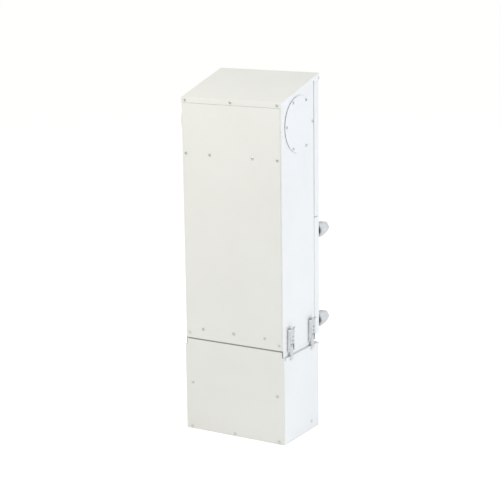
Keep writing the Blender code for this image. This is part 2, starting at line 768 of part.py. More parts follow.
def make_fan():
    middle = Vector((0, FRONT + FAN_Y, 0))
    up = (0, 0, 1)

    throat = INLET_RING_HOLE - RING_THROAT
    ring = (
        (INLET_RING_HOLE + RING_FLANGE, 0.0),
        (INLET_RING_HOLE + RING_FLANGE, -RING_SHEET),
        (throat, -RING_SHEET),
        (throat, RING_RISE),
        (throat + RING_SHEET, RING_RISE),
        (throat + RING_SHEET, 0.0),
    )
    base = middle + Vector((0, 0, PARTITION_Z + RING_SHEET + GAP))
    inlet = turned("fan_inlet_ring", ring, ZINC, base, segments=24, ring=True)
    bar_low = base + Vector((-throat - 0.001, -TIE_BAR_HALF, -RING_SHEET))
    bar_high = base + Vector((throat + 0.001, TIE_BAR_HALF, RING_SHEET / 2))
    cut(inlet, box_mesh("tie_bar", [(bar_low, bar_high)]), "UNION")
    drill(inlet, [(base, up, ROD_RADIUS + ROD_CLEARANCE, 0.02)])

    bore = SHAFT_RADIUS + GAP
    blade_top = IMPELLER_BASE + IMPELLER_HEIGHT
    rim = ((IMPELLER_RADIUS, 0), (IMPELLER_RADIUS, -BLADE_SHEET))
    hub = ((HUB_RADIUS, -BLADE_SHEET), (HUB_RADIUS, -HUB_HEIGHT))
    profile = (*rim, *hub, (bore, -HUB_HEIGHT), (bore, 0))
    spot = middle + Vector((0, 0, blade_top))
    impeller = turned("impeller", profile, ZINC, spot, segments=24, ring=True)
    bm = bmesh.new()
    for i in range(BLADES):
        blade = Matrix.Diagonal((BLADE_LENGTH, BLADE_SHEET, IMPELLER_HEIGHT - 0.001, 1))
        lean = Matrix.Rotation(math.radians(BLADE_LEAN), 4, "Z")
        turn = Matrix.Rotation(2 * math.pi * i / BLADES, 4, "Z")
        middle_z = IMPELLER_BASE + (IMPELLER_HEIGHT - 0.001) / 2
        out = Matrix.Translation((BLADE_MIDDLE, 0, middle_z))
        matrix = Matrix.Translation(middle) @ turn @ out @ lean @ blade
        bmesh.ops.create_cube(bm, size=1, matrix=matrix)
    cut(impeller, mesh_from(bm, "blades"), "UNION")

    shaft_low = IMPELLER_BASE + SHAFT_FOOT
    shaft_top = MOTOR_BASE + MOTOR_HEIGHT + SHAFT_END
    rod = ((0, shaft_top), (SHAFT_RADIUS, shaft_top), (SHAFT_RADIUS, shaft_low), (0, shaft_low))
    shaft = turned("motor_shaft", rod, ZINC, middle, segments=16)
    spin = joint_empty("impeller_axis", spot)
    hang(spin, impeller, shaft)

    bore = SHAFT_RADIUS + SHAFT_CLEARANCE
    bell = MOTOR_RADIUS - MOTOR_BELL
    top = MOTOR_HEIGHT
    can = (
        (bell, top),
        (MOTOR_RADIUS, top - MOTOR_SHOULDER),
        (MOTOR_RADIUS, MOTOR_SHOULDER),
        (bell, 0),
        (bore, 0),
        (bore, top),
    )
    seat_z = middle + Vector((0, 0, MOTOR_BASE))
    turned("fan_motor", can, MOTOR, seat_z, segments=28, ring=True)

    feet_z = PARTITION_Z + GAP + SHEET
    half = BRIDGE_HALF
    line = (
        (-half - BRIDGE_FOOT, feet_z),
        (-half, feet_z),
        (-half, MOTOR_BASE - GAP),
        (half, MOTOR_BASE - GAP),
        (half, feet_z),
        (half + BRIDGE_FOOT, feet_z),
    )
    bridge = folded(
        "motor_bridge",
        line,
        (-BRIDGE_DEPTH / 2, BRIDGE_DEPTH / 2),
        (0, BRIDGE_Z / 2, 0),
        ZINC,
    )
    bridge.rotation_euler = (math.pi / 2, 0, 0)
    bridge.location = middle
    drill(bridge, [(seat_z, up, bore + BRIDGE_HOLE, 0.02)], segments=20)


# ---------------------------------------------------------------- filter


def make_filter():
    """A pleated cartridge hung under the partition on a tie rod."""
    middle = Vector((0, FRONT + FAN_Y, 0))
    top = PARTITION_Z - SHEET - GAP
    paper_top = top - CAP_HEIGHT - GAP
    paper_foot = paper_top - FILTER_HEIGHT
    ridge, valley = [], []
    count = PLEATS * 2
    for i in range(count):
        turn = 2 * math.pi * i / count
        fold = i % 2
        outer = FILTER_RADIUS - PLEAT_OUT * fold
        inner = FILTER_CORE + PLEAT_IN * (1 - fold)
        ridge.append((outer * math.cos(turn), outer * math.sin(turn)))
        valley.append((inner * math.cos(turn), inner * math.sin(turn)))
    spot = middle + Vector((0, 0, (paper_top + paper_foot) / 2))
    flat("filter_media", [ridge, valley], FILTER_HEIGHT, spot, (0, 0, 0), PAPER)

    cap = ((FILTER_CAP, top), (FILTER_CAP, top - CAP_HEIGHT))
    profile = (*cap, (CAP_HOLE, top - CAP_HEIGHT), (CAP_HOLE, top))
    turned("filter_top_cap", profile, RUBBER, middle, segments=20, ring=True)

    bore = ROD_RADIUS + ROD_CLEARANCE
    foot = paper_foot - GAP
    cap = ((FILTER_CAP, foot), (FILTER_CAP, foot - CAP_HEIGHT))
    profile = (*cap, (bore, foot - CAP_HEIGHT), (bore, foot))
    turned("filter_bottom_cap", profile, RUBBER, middle, segments=20, ring=True)

    nut_top = foot - CAP_HEIGHT - GAP
    rod_top = PARTITION_Z + ROD_TOP
    rod_foot = nut_top - ROD_FOOT
    rod = ((0, rod_top), (ROD_RADIUS, rod_top), (ROD_RADIUS, rod_foot), (0, rod_foot))
    turned("filter_tie_rod", rod, ZINC, middle, segments=12)

    hub = ((0.009, nut_top), (0.007, nut_top - 0.010), (bore, nut_top - 0.010), (bore, nut_top))
    nut = turned("filter_wing_nut", hub, ZINC, middle, segments=16, ring=True)
    wings = []
    for side in SIDES.values():
        ends = sorted((side * WING_ROOT, side * WING_TIP))
        low = middle + Vector((ends[0], -WING_HALF, nut_top - WING_LOW))
        high = middle + Vector((ends[1], WING_HALF, nut_top - WING_HIGH))
        wings.append((low, high))
    cut(nut, box_mesh("wings", wings), "UNION")
    hang(joint_empty("wing_nut_axis", middle + Vector((0, 0, nut_top))), nut)


# ---------------------------------------------------------------- door


def make_door():
    low = (-SIDE_X, LIP_FACE, DOOR_BOTTOM)
    high = (SIDE_X, REAR, DOOR_TOP)
    door = sheet_box("access_door", low, high, [], [((0, -1, 0), DOOR_LIP)], POWDER)
    bore = STUD_RADIUS + STUD_CLEARANCE
    corners = [(side * KNOB_X, z) for side in SIDES.values() for z in KNOB_ZS.values()]
    drill(door, [((x, REAR, z), rear, bore, 0.08) for x, z in corners])
    inset = GASKET_IN
    edge = GASKET_EDGE
    outer = rounded(
        -SIDE_X + inset,
        DOOR_BOTTOM + inset,
        SIDE_X - inset,
        DOOR_TOP - inset,
        GASKET_CORNER,
        3,
    )
    inner = rounded(
        -SIDE_X + edge,
        DOOR_BOTTOM + edge,
        SIDE_X - edge,
        DOOR_TOP - edge,
        GASKET_CORNER,
        3,
    )
    holes = [circle(x, z, bore + 0.0005, 8) for x, z in corners]
    middle = (0, LIP_FACE - GAP - DOOR_SEAL / 2, 0)
    gasket = flat("door_gasket", [outer, inner, *holes], DOOR_SEAL, middle, FRONT_TURN, LIGHT)
    slide = joint_empty("door_slide", (0, REAR, DOOR_BOTTOM))
    hang(slide, door, gasket)

    back = BODY_REAR - SHEET - GAP
    for word, side in SIDES.items():
        ends = sorted((side * (KNOB_X - STRIP_HALF), side * (KNOB_X + STRIP_HALF)))
        low = (ends[0], back - NUT_LENGTH, KNOB_ZS["lower"] - STRIP_END)
        high = (ends[1], back, KNOB_ZS["upper"] + STRIP_END)
        strip = box(word + "_nut_strip", low, high, ZINC)
        drill(strip, [((side * KNOB_X, back, z), rear, bore, 0.03) for z in KNOB_ZS.values()])

    for word, side in SIDES.items():
        for level, z in KNOB_ZS.items():
            make_knob(f"{word}_{level}", side * KNOB_X, z, slide)


def make_knob(word, x, z, slide):
    """A tapered star knob on its stud."""
    start = REAR + GAP
    axis = joint_empty("knob_axis_" + word, (x, REAR, z), slide)
    rings = (
        (0.0, KNOB_RADIUS * KNOB_COLLAR, 0.0),
        (KNOB_NECK, KNOB_RADIUS * KNOB_COLLAR, 0.0),
        (KNOB_NECK + 0.003, KNOB_RADIUS * KNOB_SHOULDER, 0.05),
        (KNOB_NECK + KNOB_BODY * 0.35, KNOB_RADIUS, 0.07),
        (KNOB_NECK + KNOB_BODY - 0.004, KNOB_RADIUS * KNOB_END, 0.07),
        (KNOB_NECK + KNOB_BODY, KNOB_RADIUS * KNOB_TIP, 0.04),
    )
    count = KNOB_LOBES * 4
    bm = bmesh.new()
    bmesh.ops.create_circle(bm, cap_ends=True, segments=count, radius=1)
    face = bm.faces[:][0]
    for index, (height, radius, lobe) in enumerate(rings):
        if index:
            face = bmesh.ops.extrude_discrete_faces(bm, faces=[face])["faces"][0]
        for loop in face.loops:
            vert = loop.vert
            turn = math.atan2(vert.co.y, vert.co.x)
            reach = radius * (1 + lobe * math.cos(KNOB_LOBES * turn))
            vert.co = Vector((reach * math.cos(turn), reach * math.sin(turn), height))
    base = [v for v in bm.verts if abs(v.co.z) < 1e-9]
    bmesh.ops.contextual_create(bm, geom=base)
    bmesh.ops.recalc_face_normals(bm, faces=bm.faces)
    turn = (-math.pi / 2, 0, 0)
    knob = add("star_knob_" + word, mesh_from(bm, "star_knob"), GREY, (x, start, z), turn)
    drill(knob, [((x, start, z), rear, STUD_RADIUS + GAP, 2 * KNOB_SOCKET)])
    foot = BODY_REAR - SHEET - 2 * GAP - NUT_LENGTH - start
    tip = KNOB_SOCKET - GAP
    rod = ((0, tip), (STUD_RADIUS, tip), (STUD_RADIUS, foot), (0, foot))
    stud = turned("knob_stud_" + word, rod, ZINC, (x, start, z), turn, segments=12)
    hang(axis, knob, stud)


# ---------------------------------------------------------------- bin


def make_bin():
    """The collecting bin: walls, floor pan, front plate and hooking rims."""
    tub = sheet_box(
        "bin_tub",
        (-BIN_X, BODY_FRONT, BIN_FOOT),
        (BIN_X, FRONT + BIN_DEPTH, BIN_TOP),
        [(0, 0, -1)],
        [((0, -1, 0), BIN_FRAME)],
        POWDER,
    )
    mouth_low = (-BIN_X + BIN_LIP, BODY_FRONT + BIN_LIP, BIN_TOP - 0.01)
    mouth_high = (BIN_X - BIN_LIP, HOPPER_REAR - BIN_LIP + 0.003, BIN_TOP + 0.01)
    cut(tub, box_mesh("bin_mouth", [(mouth_low, mouth_high)]))
    inset = SHEET + GAP
    floor = sheet_box(
        "bin_floor",
        (-BIN_X + inset, BODY_FRONT + inset, 0),
        (BIN_X - inset, FRONT + BIN_DEPTH - inset, FLOOR_WALL),
        [(0, 0, 1)],
        [],
        ZINC,
    )
    plate_x = SIDE_X + PLATE_SPREAD
    notch_x = SIDE_X - NOTCH
    outline = (
        (-plate_x, BIN_FOOT),
        (plate_x, BIN_FOOT),
        (plate_x, BIN_TOP),
        (notch_x, BIN_TOP),
        (notch_x, BIN_PLATE_TOP),
        (-notch_x, BIN_PLATE_TOP),
        (-notch_x, BIN_TOP),
        (-plate_x, BIN_TOP),
    )
    foot_x = SIDE_X - SCREW_EDGE
    mid_x = SIDE_X - BIN_MID_SCREW_IN
    plate_places = [((x, FRONT, BIN_FOOT_SCREW_Z), front) for x in (-foot_x, 0, foot_x)]
    plate_places += [((x, FRONT, BIN_MID_SCREW_Z), front) for x in (-mid_x, mid_x)]
    side_places = [
        ((side * BIN_X, FRONT + BIN_SIDE_SCREW_Y, BIN_SIDE_SCREW_Z), (side, 0, 0))
        for side in SIDES.values()
    ]
    holes = [circle(p[0], p[2], SCREW_HOLE, 8) for p, _ in plate_places]
    spot = (0, FRONT + SHEET / 2, 0)
    plate = flat("bin_front_plate", [outline, *holes], SHEET, spot, FRONT_TURN, POWDER)
    drill(tub, holes_for(plate_places + side_places))
    drill(floor, holes_for([p for p in plate_places if p[0][2] < FLOOR_WALL] + side_places))
    slide = joint_empty("bin_slide", (0, 0, 0))
    hang(slide, tub, floor, plate)
    for word, side in SIDES.items():
        ends = sorted((side * (BIN_X + GAP), side * RIM_X))
        low = (ends[0], FRONT + RIM_START, BIN_TOP - RIM_HEIGHT)
        high = (ends[1], FRONT + BIN_DEPTH, BIN_TOP)
        hang(slide, box("bin_rim_" + word, low, high, POWDER))


# ---------------------------------------------------------------- latches


def make_latch(word, side, y):
    """A draw latch: base with ears, lever with its link pin, and claw."""
    middle = FRONT + y
    face = SIDE_X + GAP
    pivot = Vector((side * (SIDE_X + LATCH_PIVOT_OUT), middle, LATCH_PIVOT_Z))
    link = pivot + Vector((-side * LINK_IN, 0, LINK_RISE))
    bore = PIN_RADIUS + PIN_CLEARANCE
    across = (0, 1, 0)

    ear_x = side * (SIDE_X + LATCH_PIVOT_OUT + EAR)
    base_line = (
        (ear_x, middle - BASE_HALF),
        (side * face, middle - BASE_HALF),
        (side * face, middle + BASE_HALF),
        (ear_x, middle + BASE_HALF),
    )
    base = folded(
        "latch_base_" + word,
        base_line,
        (BASE_BOTTOM, LATCH_PIVOT_Z - EAR, LATCH_PIVOT_Z + EAR, BASE_TOP),
        (side * (SIDE_X + 0.008), middle, LATCH_PIVOT_Z),
        ZINC,
        drop=lambda c: (
            abs(c.x) > face + 0.001 and abs(c.z - LATCH_PIVOT_Z) > EAR
        ),
    )
    own = [p for p in latch_rivet_places(side) if abs(p[0][1] - middle) < BASE_HALF]
    pins = bmesh.new()
    for way in (-1, 1):
        stub = pivot + Vector((0, way * (BASE_HALF + STUB / 2 - STUB_IN), 0))
        add_rod(pins, stub, across, PIN_RADIUS, STUB)
    for spot, out in own:
        add_rod(pins, Vector(spot), out, SCREW_SHANK, RIVET, segments=8)
    cut(base, mesh_from(pins, "latch_pins_" + word), "UNION")

    wall_in = SIDE_X + LATCH_PIVOT_OUT - LEVER_WALL
    outer = SIDE_X + LATCH_OUT
    lever_line = (
        (side * wall_in, middle - LATCH_HALF),
        (side * outer, middle - LATCH_HALF),
        (side * outer, middle + LATCH_HALF),
        (side * wall_in, middle + LATCH_HALF),
    )
    plate_foot = LATCH_PIVOT_Z + LEVER_FOOT
    bend = LATCH_TOP - LEVER_BEND
    lever = folded(
        "latch_lever_" + word,
        lever_line,
        (LATCH_PIVOT_Z - EAR, plate_foot, bend, LATCH_TOP),
        (side * wall_in, middle, (plate_foot + bend) / 2),
        ZINC,
        drop=lambda c: (
            (c.z < plate_foot and abs(c.x) > outer - 0.001)
            or (c.z > bend and abs(c.x) < outer - 0.001)
        ),
    )
    for vert in lever.data.vertices:
        if vert.co.z > bend + 0.001:
            vert.co.x += side * LATCH_FLARE
    drill(lever, [(pivot, across, bore, 0.05)], segments=12)
    pin = bmesh.new()
    add_rod(pin, link, across, PIN_RADIUS, 2 * LATCH_HALF - SHEET)
    cut(lever, mesh_from(pin, "link_pin_" + word), "UNION")
    lever_axis = joint_empty("lever_axis_" + word, pivot)
    hang(lever_axis, lever)

    hook_top = BIN_TOP - RIM_HEIGHT - HOOK_GAP - link.z
    strip_in = LINK_EYE - LINK_SHEET
    start = math.acos(strip_in / LINK_EYE)
    steps = 12
    arc = [start + (2 * math.pi - start) * i / steps for i in range(steps + 1)]
    eye = [(LINK_EYE * math.cos(a), -LINK_EYE * math.sin(a)) for a in arc]
    tip = SIDE_X + BIN_SPREAD + HOOK_OVER - abs(link.x)
    outline = [
        *eye,
        (LINK_EYE, hook_top - LINK_SHEET),
        (tip, hook_top - LINK_SHEET),
        (tip, hook_top),
        (strip_in, hook_top),
    ]
    sided = [(side * x, z) for x, z in outline]
    hole = circle(0, 0, bore, 12)
    claw = flat("latch_claw_" + word, [sided, hole], 2 * LINK_HALF, link, FRONT_TURN, ZINC)
    hang(joint_empty("claw_axis_" + word, link, lever_axis), claw)


# ---------------------------------------------------------------- gland

GLAND = Vector((-0.115, REAR, 0.760))
GLAND_SHANK = 0.010
GLAND_BORE = 0.0045
GLAND_TIP = 0.009
GLAND_CAP = 0.013
GLAND_FLANGE = 0.0145
GLAND_SEAT = 0.006
GLAND_SHOULDER = 0.016
GLAND_END = 0.024
GLAND_TAIL = 0.012


def make_gland():
    profile = (
        (GLAND_TIP, GLAND_END),
        (GLAND_CAP, GLAND_SHOULDER),
        (GLAND_CAP, GLAND_SEAT),
        (GLAND_FLANGE, GLAND_SEAT),
        (GLAND_FLANGE, 0.0),
        (GLAND_SHANK, 0.0),
        (GLAND_SHANK, -GLAND_TAIL),
        (GLAND_BORE, -GLAND_TAIL),
        (GLAND_BORE, GLAND_END),
    )
    spot = GLAND + Vector((0, GAP, 0))
    turned("cable_gland", profile, GREY, spot, (-math.pi / 2, 0, 0), segments=16, ring=True)


# ---------------------------------------------------------------- fasteners


def make_port_screws():
    screw = screw_mesh("port_screw", SCREW_LENGTH)
    for number, place in enumerate(cover_places, 1):
        fastener(f"port_screw_{number}", screw, seat(*place))


for side_word in SIDES:
    make_side_panel(side_word)
make_front_panel()
make_roof_lid()
make_top_rail()
make_rear_panel()
make_partition()
make_hopper_frame()
make_seals()
make_ports()
make_fan()
make_filter()
make_door()
make_bin()
for side_word, side_sign in SIDES.items():
    for end_word, latch_y in LATCH_YS.items():
        make_latch(f"{side_word}_{end_word}", side_sign, latch_y)
make_gland()
make_port_screws()
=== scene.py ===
"""Finish, fittings and light for the slim dust collector cabinet."""

import json
import math

import bmesh
import bpy
from mathutils import Matrix, Vector

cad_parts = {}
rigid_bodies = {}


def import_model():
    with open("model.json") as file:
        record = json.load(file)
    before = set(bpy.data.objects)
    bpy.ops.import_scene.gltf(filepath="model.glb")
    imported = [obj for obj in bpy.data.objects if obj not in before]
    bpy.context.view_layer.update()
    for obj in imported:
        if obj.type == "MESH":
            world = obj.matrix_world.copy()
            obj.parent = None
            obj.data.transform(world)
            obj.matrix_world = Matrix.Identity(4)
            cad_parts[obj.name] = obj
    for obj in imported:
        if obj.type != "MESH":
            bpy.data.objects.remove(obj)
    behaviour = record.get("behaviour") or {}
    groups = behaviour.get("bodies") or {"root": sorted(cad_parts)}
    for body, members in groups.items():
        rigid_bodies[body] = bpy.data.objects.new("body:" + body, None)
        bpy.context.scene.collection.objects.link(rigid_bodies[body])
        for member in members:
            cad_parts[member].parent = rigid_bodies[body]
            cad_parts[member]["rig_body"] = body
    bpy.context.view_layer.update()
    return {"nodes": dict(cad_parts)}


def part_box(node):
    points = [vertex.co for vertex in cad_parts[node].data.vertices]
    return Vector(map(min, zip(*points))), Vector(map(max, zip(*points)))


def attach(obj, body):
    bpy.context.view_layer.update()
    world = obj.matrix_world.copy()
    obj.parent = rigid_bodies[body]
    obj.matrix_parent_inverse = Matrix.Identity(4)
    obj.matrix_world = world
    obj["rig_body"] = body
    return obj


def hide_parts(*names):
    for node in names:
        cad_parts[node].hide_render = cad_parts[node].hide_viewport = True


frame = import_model()


def low(node):
    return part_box(node)[0]


def high(node):
    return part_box(node)[1]


# ------------------------------------------------- places from the frame

SHEET = 0.0015
GAP = 0.0003  # between sheets that lie on each other
LID_LIP = 0.015
FRONT = low("front_panel").y
SIDE_X = high("right_side_panel").x
LID_BACK = high("roof_lid").y
REAR = high("access_door").y
BIN_X = high("bin_tub").x
PORT = (low("port_cover") + high("port_cover")) / 2
PORT_RADIUS = (high("port_cover").z - low("port_cover").z) / 2
LID_FRONT_Z = low("roof_lid").z + LID_LIP
SLOPE = (high("roof_lid").z - LID_FRONT_Z) / (LID_BACK - FRONT)
SIDES = {"left": -1, "right": 1}
ENDS = ("front", "rear")


def roof_z(y):
    return LID_FRONT_Z + SLOPE * (y - FRONT)


# ------------------------------------------------- materials


def new_material(name, colour, roughness, metallic=0.0, **sockets):
    material = bpy.data.materials.new(name)
    material.use_nodes = True
    shader = material.node_tree.nodes["Principled BSDF"]
    shader.inputs["Base Color"].default_value = (*colour, 1)
    shader.inputs["Roughness"].default_value = roughness
    shader.inputs["Metallic"].default_value = metallic
    for socket, value in sockets.items():
        shader.inputs[socket.replace("_", " ")].default_value = value
    return material


def add_node(material, kind, inputs=None, **settings):
    made = material.node_tree.nodes.new("ShaderNode" + kind)
    for name, value in settings.items():
        setattr(made, name, value)
    for name, value in (inputs or {}).items():
        made.inputs[name].default_value = value
    return made


def join(material, source, target):
    material.node_tree.links.new(source, target)


def coordinates(material, stretch=(1, 1, 1)):
    place = add_node(material, "TexCoord")
    mapping = add_node(material, "Mapping", {"Scale": stretch})
    join(material, place.outputs["Object"], mapping.inputs["Vector"])
    return mapping.outputs["Vector"]


def noise(material, vector, scale, detail=2.0, roughness=0.5):
    made = add_node(
        material, "TexNoise", {"Scale": scale, "Detail": detail, "Roughness": roughness}
    )
    join(material, vector, made.inputs["Vector"])
    return made.outputs["Fac"]


def tint(material, factor, dark, light, start=0.3, end=0.7):
    """Mixes the base colour between two tones by a pattern."""
    ramp = add_node(material, "ValToRGB")
    ramp.color_ramp.elements[0].position = start
    ramp.color_ramp.elements[0].color = (*dark, 1)
    ramp.color_ramp.elements[1].position = end
    ramp.color_ramp.elements[1].color = (*light, 1)
    join(material, factor, ramp.inputs["Fac"])
    shader = material.node_tree.nodes["Principled BSDF"]
    join(material, ramp.outputs["Color"], shader.inputs["Base Color"])


def polish(material, factor, smooth, rough):
    spread = add_node(
        material, "MapRange", {"From Min": 0.3, "From Max": 0.7, "To Min": smooth, "To Max": rough}
    )
    join(material, factor, spread.inputs["Value"])
    shader = material.node_tree.nodes["Principled BSDF"]
    join(material, spread.outputs["Result"], shader.inputs["Roughness"])


def relief(material, *layers):
    """Stacks bumps, each a pattern with its height and strength."""
    shader = material.node_tree.nodes["Principled BSDF"]
    under = None
    for factor, height, strength in layers:
        bump = add_node(material, "Bump", {"Distance": height, "Strength": strength})
        join(material, factor, bump.inputs["Height"])
        if under:
            join(material, under, bump.inputs["Normal"])
        under = bump.outputs["Normal"]
    join(material, under, shader.inputs["Normal"])


def powder_coat():
    """White powder coat: orange peel, faint waviness of the sheet."""
    material = new_material("powder_coat", (0.84, 0.84, 0.825), 0.42, Coat_Weight=0.12)
    place = coordinates(material)
    tint(material, noise(material, place, 6, 3), (0.825, 0.828, 0.805), (0.855, 0.855, 0.838))
    polish(material, noise(material, place, 35, 3), 0.36, 0.5)
    relief(
        material,
        (noise(material, place, 9, 1), 0.004, 0.08),
        (noise(material, place, 650, 2), 0.0004, 0.35),
    )
    return material


def zinc_steel():
    """Zinc-plated pressings, faintly brushed along their length."""
    material = new_material("zinc_steel", (0.72, 0.73, 0.74), 0.3, 1.0)
    place = coordinates(material, (1, 1, 0.06))
    plain = coordinates(material)
    tint(material, noise(material, plain, 60, 3), (0.60, 0.62, 0.63), (0.80, 0.81, 0.82))
    polish(material, noise(material, place, 900, 2), 0.2, 0.38)
    relief(material, (noise(material, place, 1500, 2), 0.0001, 0.25))
    return material


def galvanised():
    """Galvanised inner sheet with a soft spangle."""
    material = new_material("galvanised", (0.6, 0.61, 0.62), 0.4, 0.9)
    place = coordinates(material)
    cells = add_node(material, "TexVoronoi", {"Scale": 90.0, "Randomness": 1.0})
    join(material, place, cells.inputs["Vector"])
    tone = add_node(material, "SeparateColor")
    join(material, cells.outputs["Color"], tone.inputs["Color"])
    tint(material, tone.outputs["Red"], (0.50, 0.52, 0.53), (0.68, 0.69, 0.70), 0.0, 1.0)
    polish(material, tone.outputs["Green"], 0.32, 0.5)
    relief(material, (noise(material, place, 500, 2), 0.0002, 0.15))
    return material


def foam(name, dark, light):
    """Closed-cell sealing foam."""
    material = new_material(name, light, 0.95)
    place = coordinates(material)
    cells = add_node(material, "TexVoronoi", {"Scale": 1400.0})
    join(material, place, cells.inputs["Vector"])
    tint(material, cells.outputs["Distance"], dark, light, 0.1, 0.6)
    relief(material, (cells.outputs["Distance"], 0.0006, 0.8))
    return material


def moulded(name, dark, light, roughness, grain=900):
    """Moulded plastic or rubber with a fine spark-eroded grain."""
    material = new_material(name, light, roughness)
    place = coordinates(material)
    tint(material, noise(material, place, 40, 3), dark, light)
    polish(material, noise(material, place, 120, 2), roughness - 0.06, roughness + 0.08)
    relief(material, (noise(material, place, grain, 2), 0.0002, 0.35))
    return material


def paper():
    """Filter paper, with fibres and a light dust in blotches."""
    material = new_material("filter_paper", (0.8, 0.77, 0.68), 0.9)
    fibres = coordinates(material, (1, 1, 0.2))
    plain = coordinates(material)
    tint(material, noise(material, plain, 25, 5), (0.66, 0.62, 0.52), (0.83, 0.80, 0.72))
    relief(material, (noise(material, fibres, 1800, 3), 0.0003, 0.6))
    return material


def hammered():
    """Hammer-finish motor enamel."""
    material = new_material("hammer_enamel", (0.16, 0.18, 0.2), 0.35, 0.2, Coat_Weight=0.3)
    place = coordinates(material)
    cells = add_node(material, "TexVoronoi", {"Scale": 260.0}, feature="SMOOTH_F1")
    join(material, place, cells.inputs["Vector"])
    tint(material, cells.outputs["Distance"], (0.10, 0.12, 0.135), (0.22, 0.245, 0.26), 0.1, 0.7)
    relief(material, (cells.outputs["Distance"], 0.0008, 0.5))
    return material


def latch_zinc():
    """Pressed steel with a bright, slightly cloudy zinc coat."""
    material = new_material("latch_zinc", (0.8, 0.81, 0.82), 0.3, 0.85)
    place = coordinates(material)
    tint(material, noise(material, place, 160, 3), (0.74, 0.75, 0.76), (0.88, 0.89, 0.9), 0.3, 0.7)
    relief(material, (noise(material, place, 60, 2), 0.0002, 0.3))
    return material


def threaded():
    """Zinc-plated thread, turned along each rod's own length."""
    material = new_material("thread", (0.7, 0.71, 0.72), 0.3, 1.0)
    turns = add_node(material, "UVMap", uv_map="along")
    ridge = add_node(material, "TexWave", {"Scale": 0.5}, bands_direction="Y")
    join(material, turns.outputs["UV"], ridge.inputs["Vector"])
    # the colour darkens in the thread's grooves: painted shade
    tint(material, ridge.outputs["Fac"], (0.42, 0.43, 0.44), (0.78, 0.79, 0.8), 0.2, 0.8)
    relief(material, (ridge.outputs["Fac"], 0.0005, 0.9))
    return material


FINISHES = {
    "powder_coat": powder_coat(),
    "inner_frame": galvanised(),
    "bright_steel": zinc_steel(),
    "dark_foam": foam("dark_foam", (0.012, 0.012, 0.013), (0.05, 0.05, 0.052)),
    "light_foam": foam("light_foam", (0.72, 0.72, 0.71), (0.86, 0.86, 0.85)),
    "grey_plastic": moulded("grey_knob", (0.60, 0.60, 0.59), (0.70, 0.70, 0.69), 0.42),
    "motor_paint": hammered(),
    "filter_paper": paper(),
    "cap_rubber": moulded("cap_rubber", (0.05, 0.05, 0.05), (0.10, 0.10, 0.10), 0.7),
}
THREAD = threaded()
LATCH_ZINC = latch_zinc()
# seam foam: a real seal, made dark grey to also stand in for the shade in the front joint gap
# (painted shade)
SEAM_FOAM_AND_GAP_SHADE = foam("seam_foam_gap_shade", (0.2, 0.2, 0.2), (0.32, 0.32, 0.31))
# knob collar: a real collar, made near-black to also stand in for the shade around the knob's base
# (painted shade)
DARK_COLLAR_AND_SHADE = moulded("dark_collar", (0.02, 0.02, 0.02), (0.04, 0.04, 0.04), 0.55)

NODE_SLOTS = {}
for node_name, solid in frame["nodes"].items():
    NODE_SLOTS[node_name] = solid.data.materials[0].name.split(".")[0]
    for material_slot in solid.material_slots:
        material_slot.material = FINISHES[NODE_SLOTS[node_name]]


# ------------------------------------------------- tools


def deselect():
    if bpy.context.mode != "OBJECT":
        bpy.ops.object.mode_set(mode="OBJECT")
    bpy.ops.object.select_all(action="DESELECT")


def take(piece):
    """Makes a piece the only one selected."""
    deselect()
    piece.select_set(True)
    bpy.context.view_layer.objects.active = piece


def edit(piece):
    take(piece)
    bpy.ops.object.mode_set(mode="EDIT")


def start(name, shape, **how):
    """Adds a primitive to shape further, and leaves it in edit mode."""
    deselect()
    getattr(bpy.ops.mesh, f"primitive_{shape}_add")(**how)
    piece = bpy.context.object
    piece.name = name
    piece.data.name = name
    take(piece)
    bpy.ops.object.transform_apply(location=True, rotation=True, scale=True)
    bpy.ops.object.mode_set(mode="EDIT")
    return piece


def choose(piece, kind, test):
    """Selects only the faces, edges or vertices that pass a test."""
    bpy.ops.mesh.select_mode(type=kind)
    bpy.ops.mesh.select_all(action="DESELECT")
    bm = bmesh.from_edit_mesh(piece.data)
    bm.normal_update()
    items = {"FACE": bm.faces, "EDGE": bm.edges, "VERT": bm.verts}[kind]
    found = [item for item in items if test(item)]
    for item in found:
        item.select_set(True)
    bm.select_flush_mode()
    bmesh.update_edit_mesh(piece.data)
    return len(found)


def finish(piece, slot, body, *replaced, material=None, angle=35):
    """Gives a piece its finish, its body and the nodes it stands for."""
    take(piece)
    piece.data.materials.clear()
    piece.data.materials.append(material or FINISHES[slot])
    bpy.ops.object.transform_apply(location=True, rotation=True, scale=True)
    bpy.ops.object.shade_smooth_by_angle(angle=math.radians(angle))
    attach(piece, body)
    if replaced:
        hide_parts(*replaced)
    return piece


def copied(template, name, place):
    """A copy with its own mesh, moved to its place in the mesh."""
    piece = template.copy()
    piece.data = template.data.copy()
    piece.name = name
    piece.data.name = name
    bpy.context.scene.collection.objects.link(piece)
    piece.data.transform(place)
    if place.determinant() < 0:
        piece.data.flip_normals()
    return piece


def modified(piece, kind, **settings):
    """Adds a modifier and applies it at once."""
    bpy.ops.object.mode_set(mode="OBJECT")
    take(piece)
    modifier = piece.modifiers.new(kind.lower(), kind)
    for name, value in settings.items():
        setattr(modifier, name, value)
    bpy.ops.object.modifier_apply(modifier=modifier.name)
    return piece


def body_of(node):
    return frame["nodes"][node]["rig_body"]


# ------------------------------------------------- sheet metal

FOLD_RADIUS = 0.0018
CUT_EDGE = 0.00025
WIDE = 0.0024  # faces wider than this are sheet, narrower ones its cut edge
SHARP = math.radians(30)
FLAT = math.radians(1)
WELD = 0.00001


def width_of(face):
    return 2 * face.calc_area() / face.calc_perimeter()


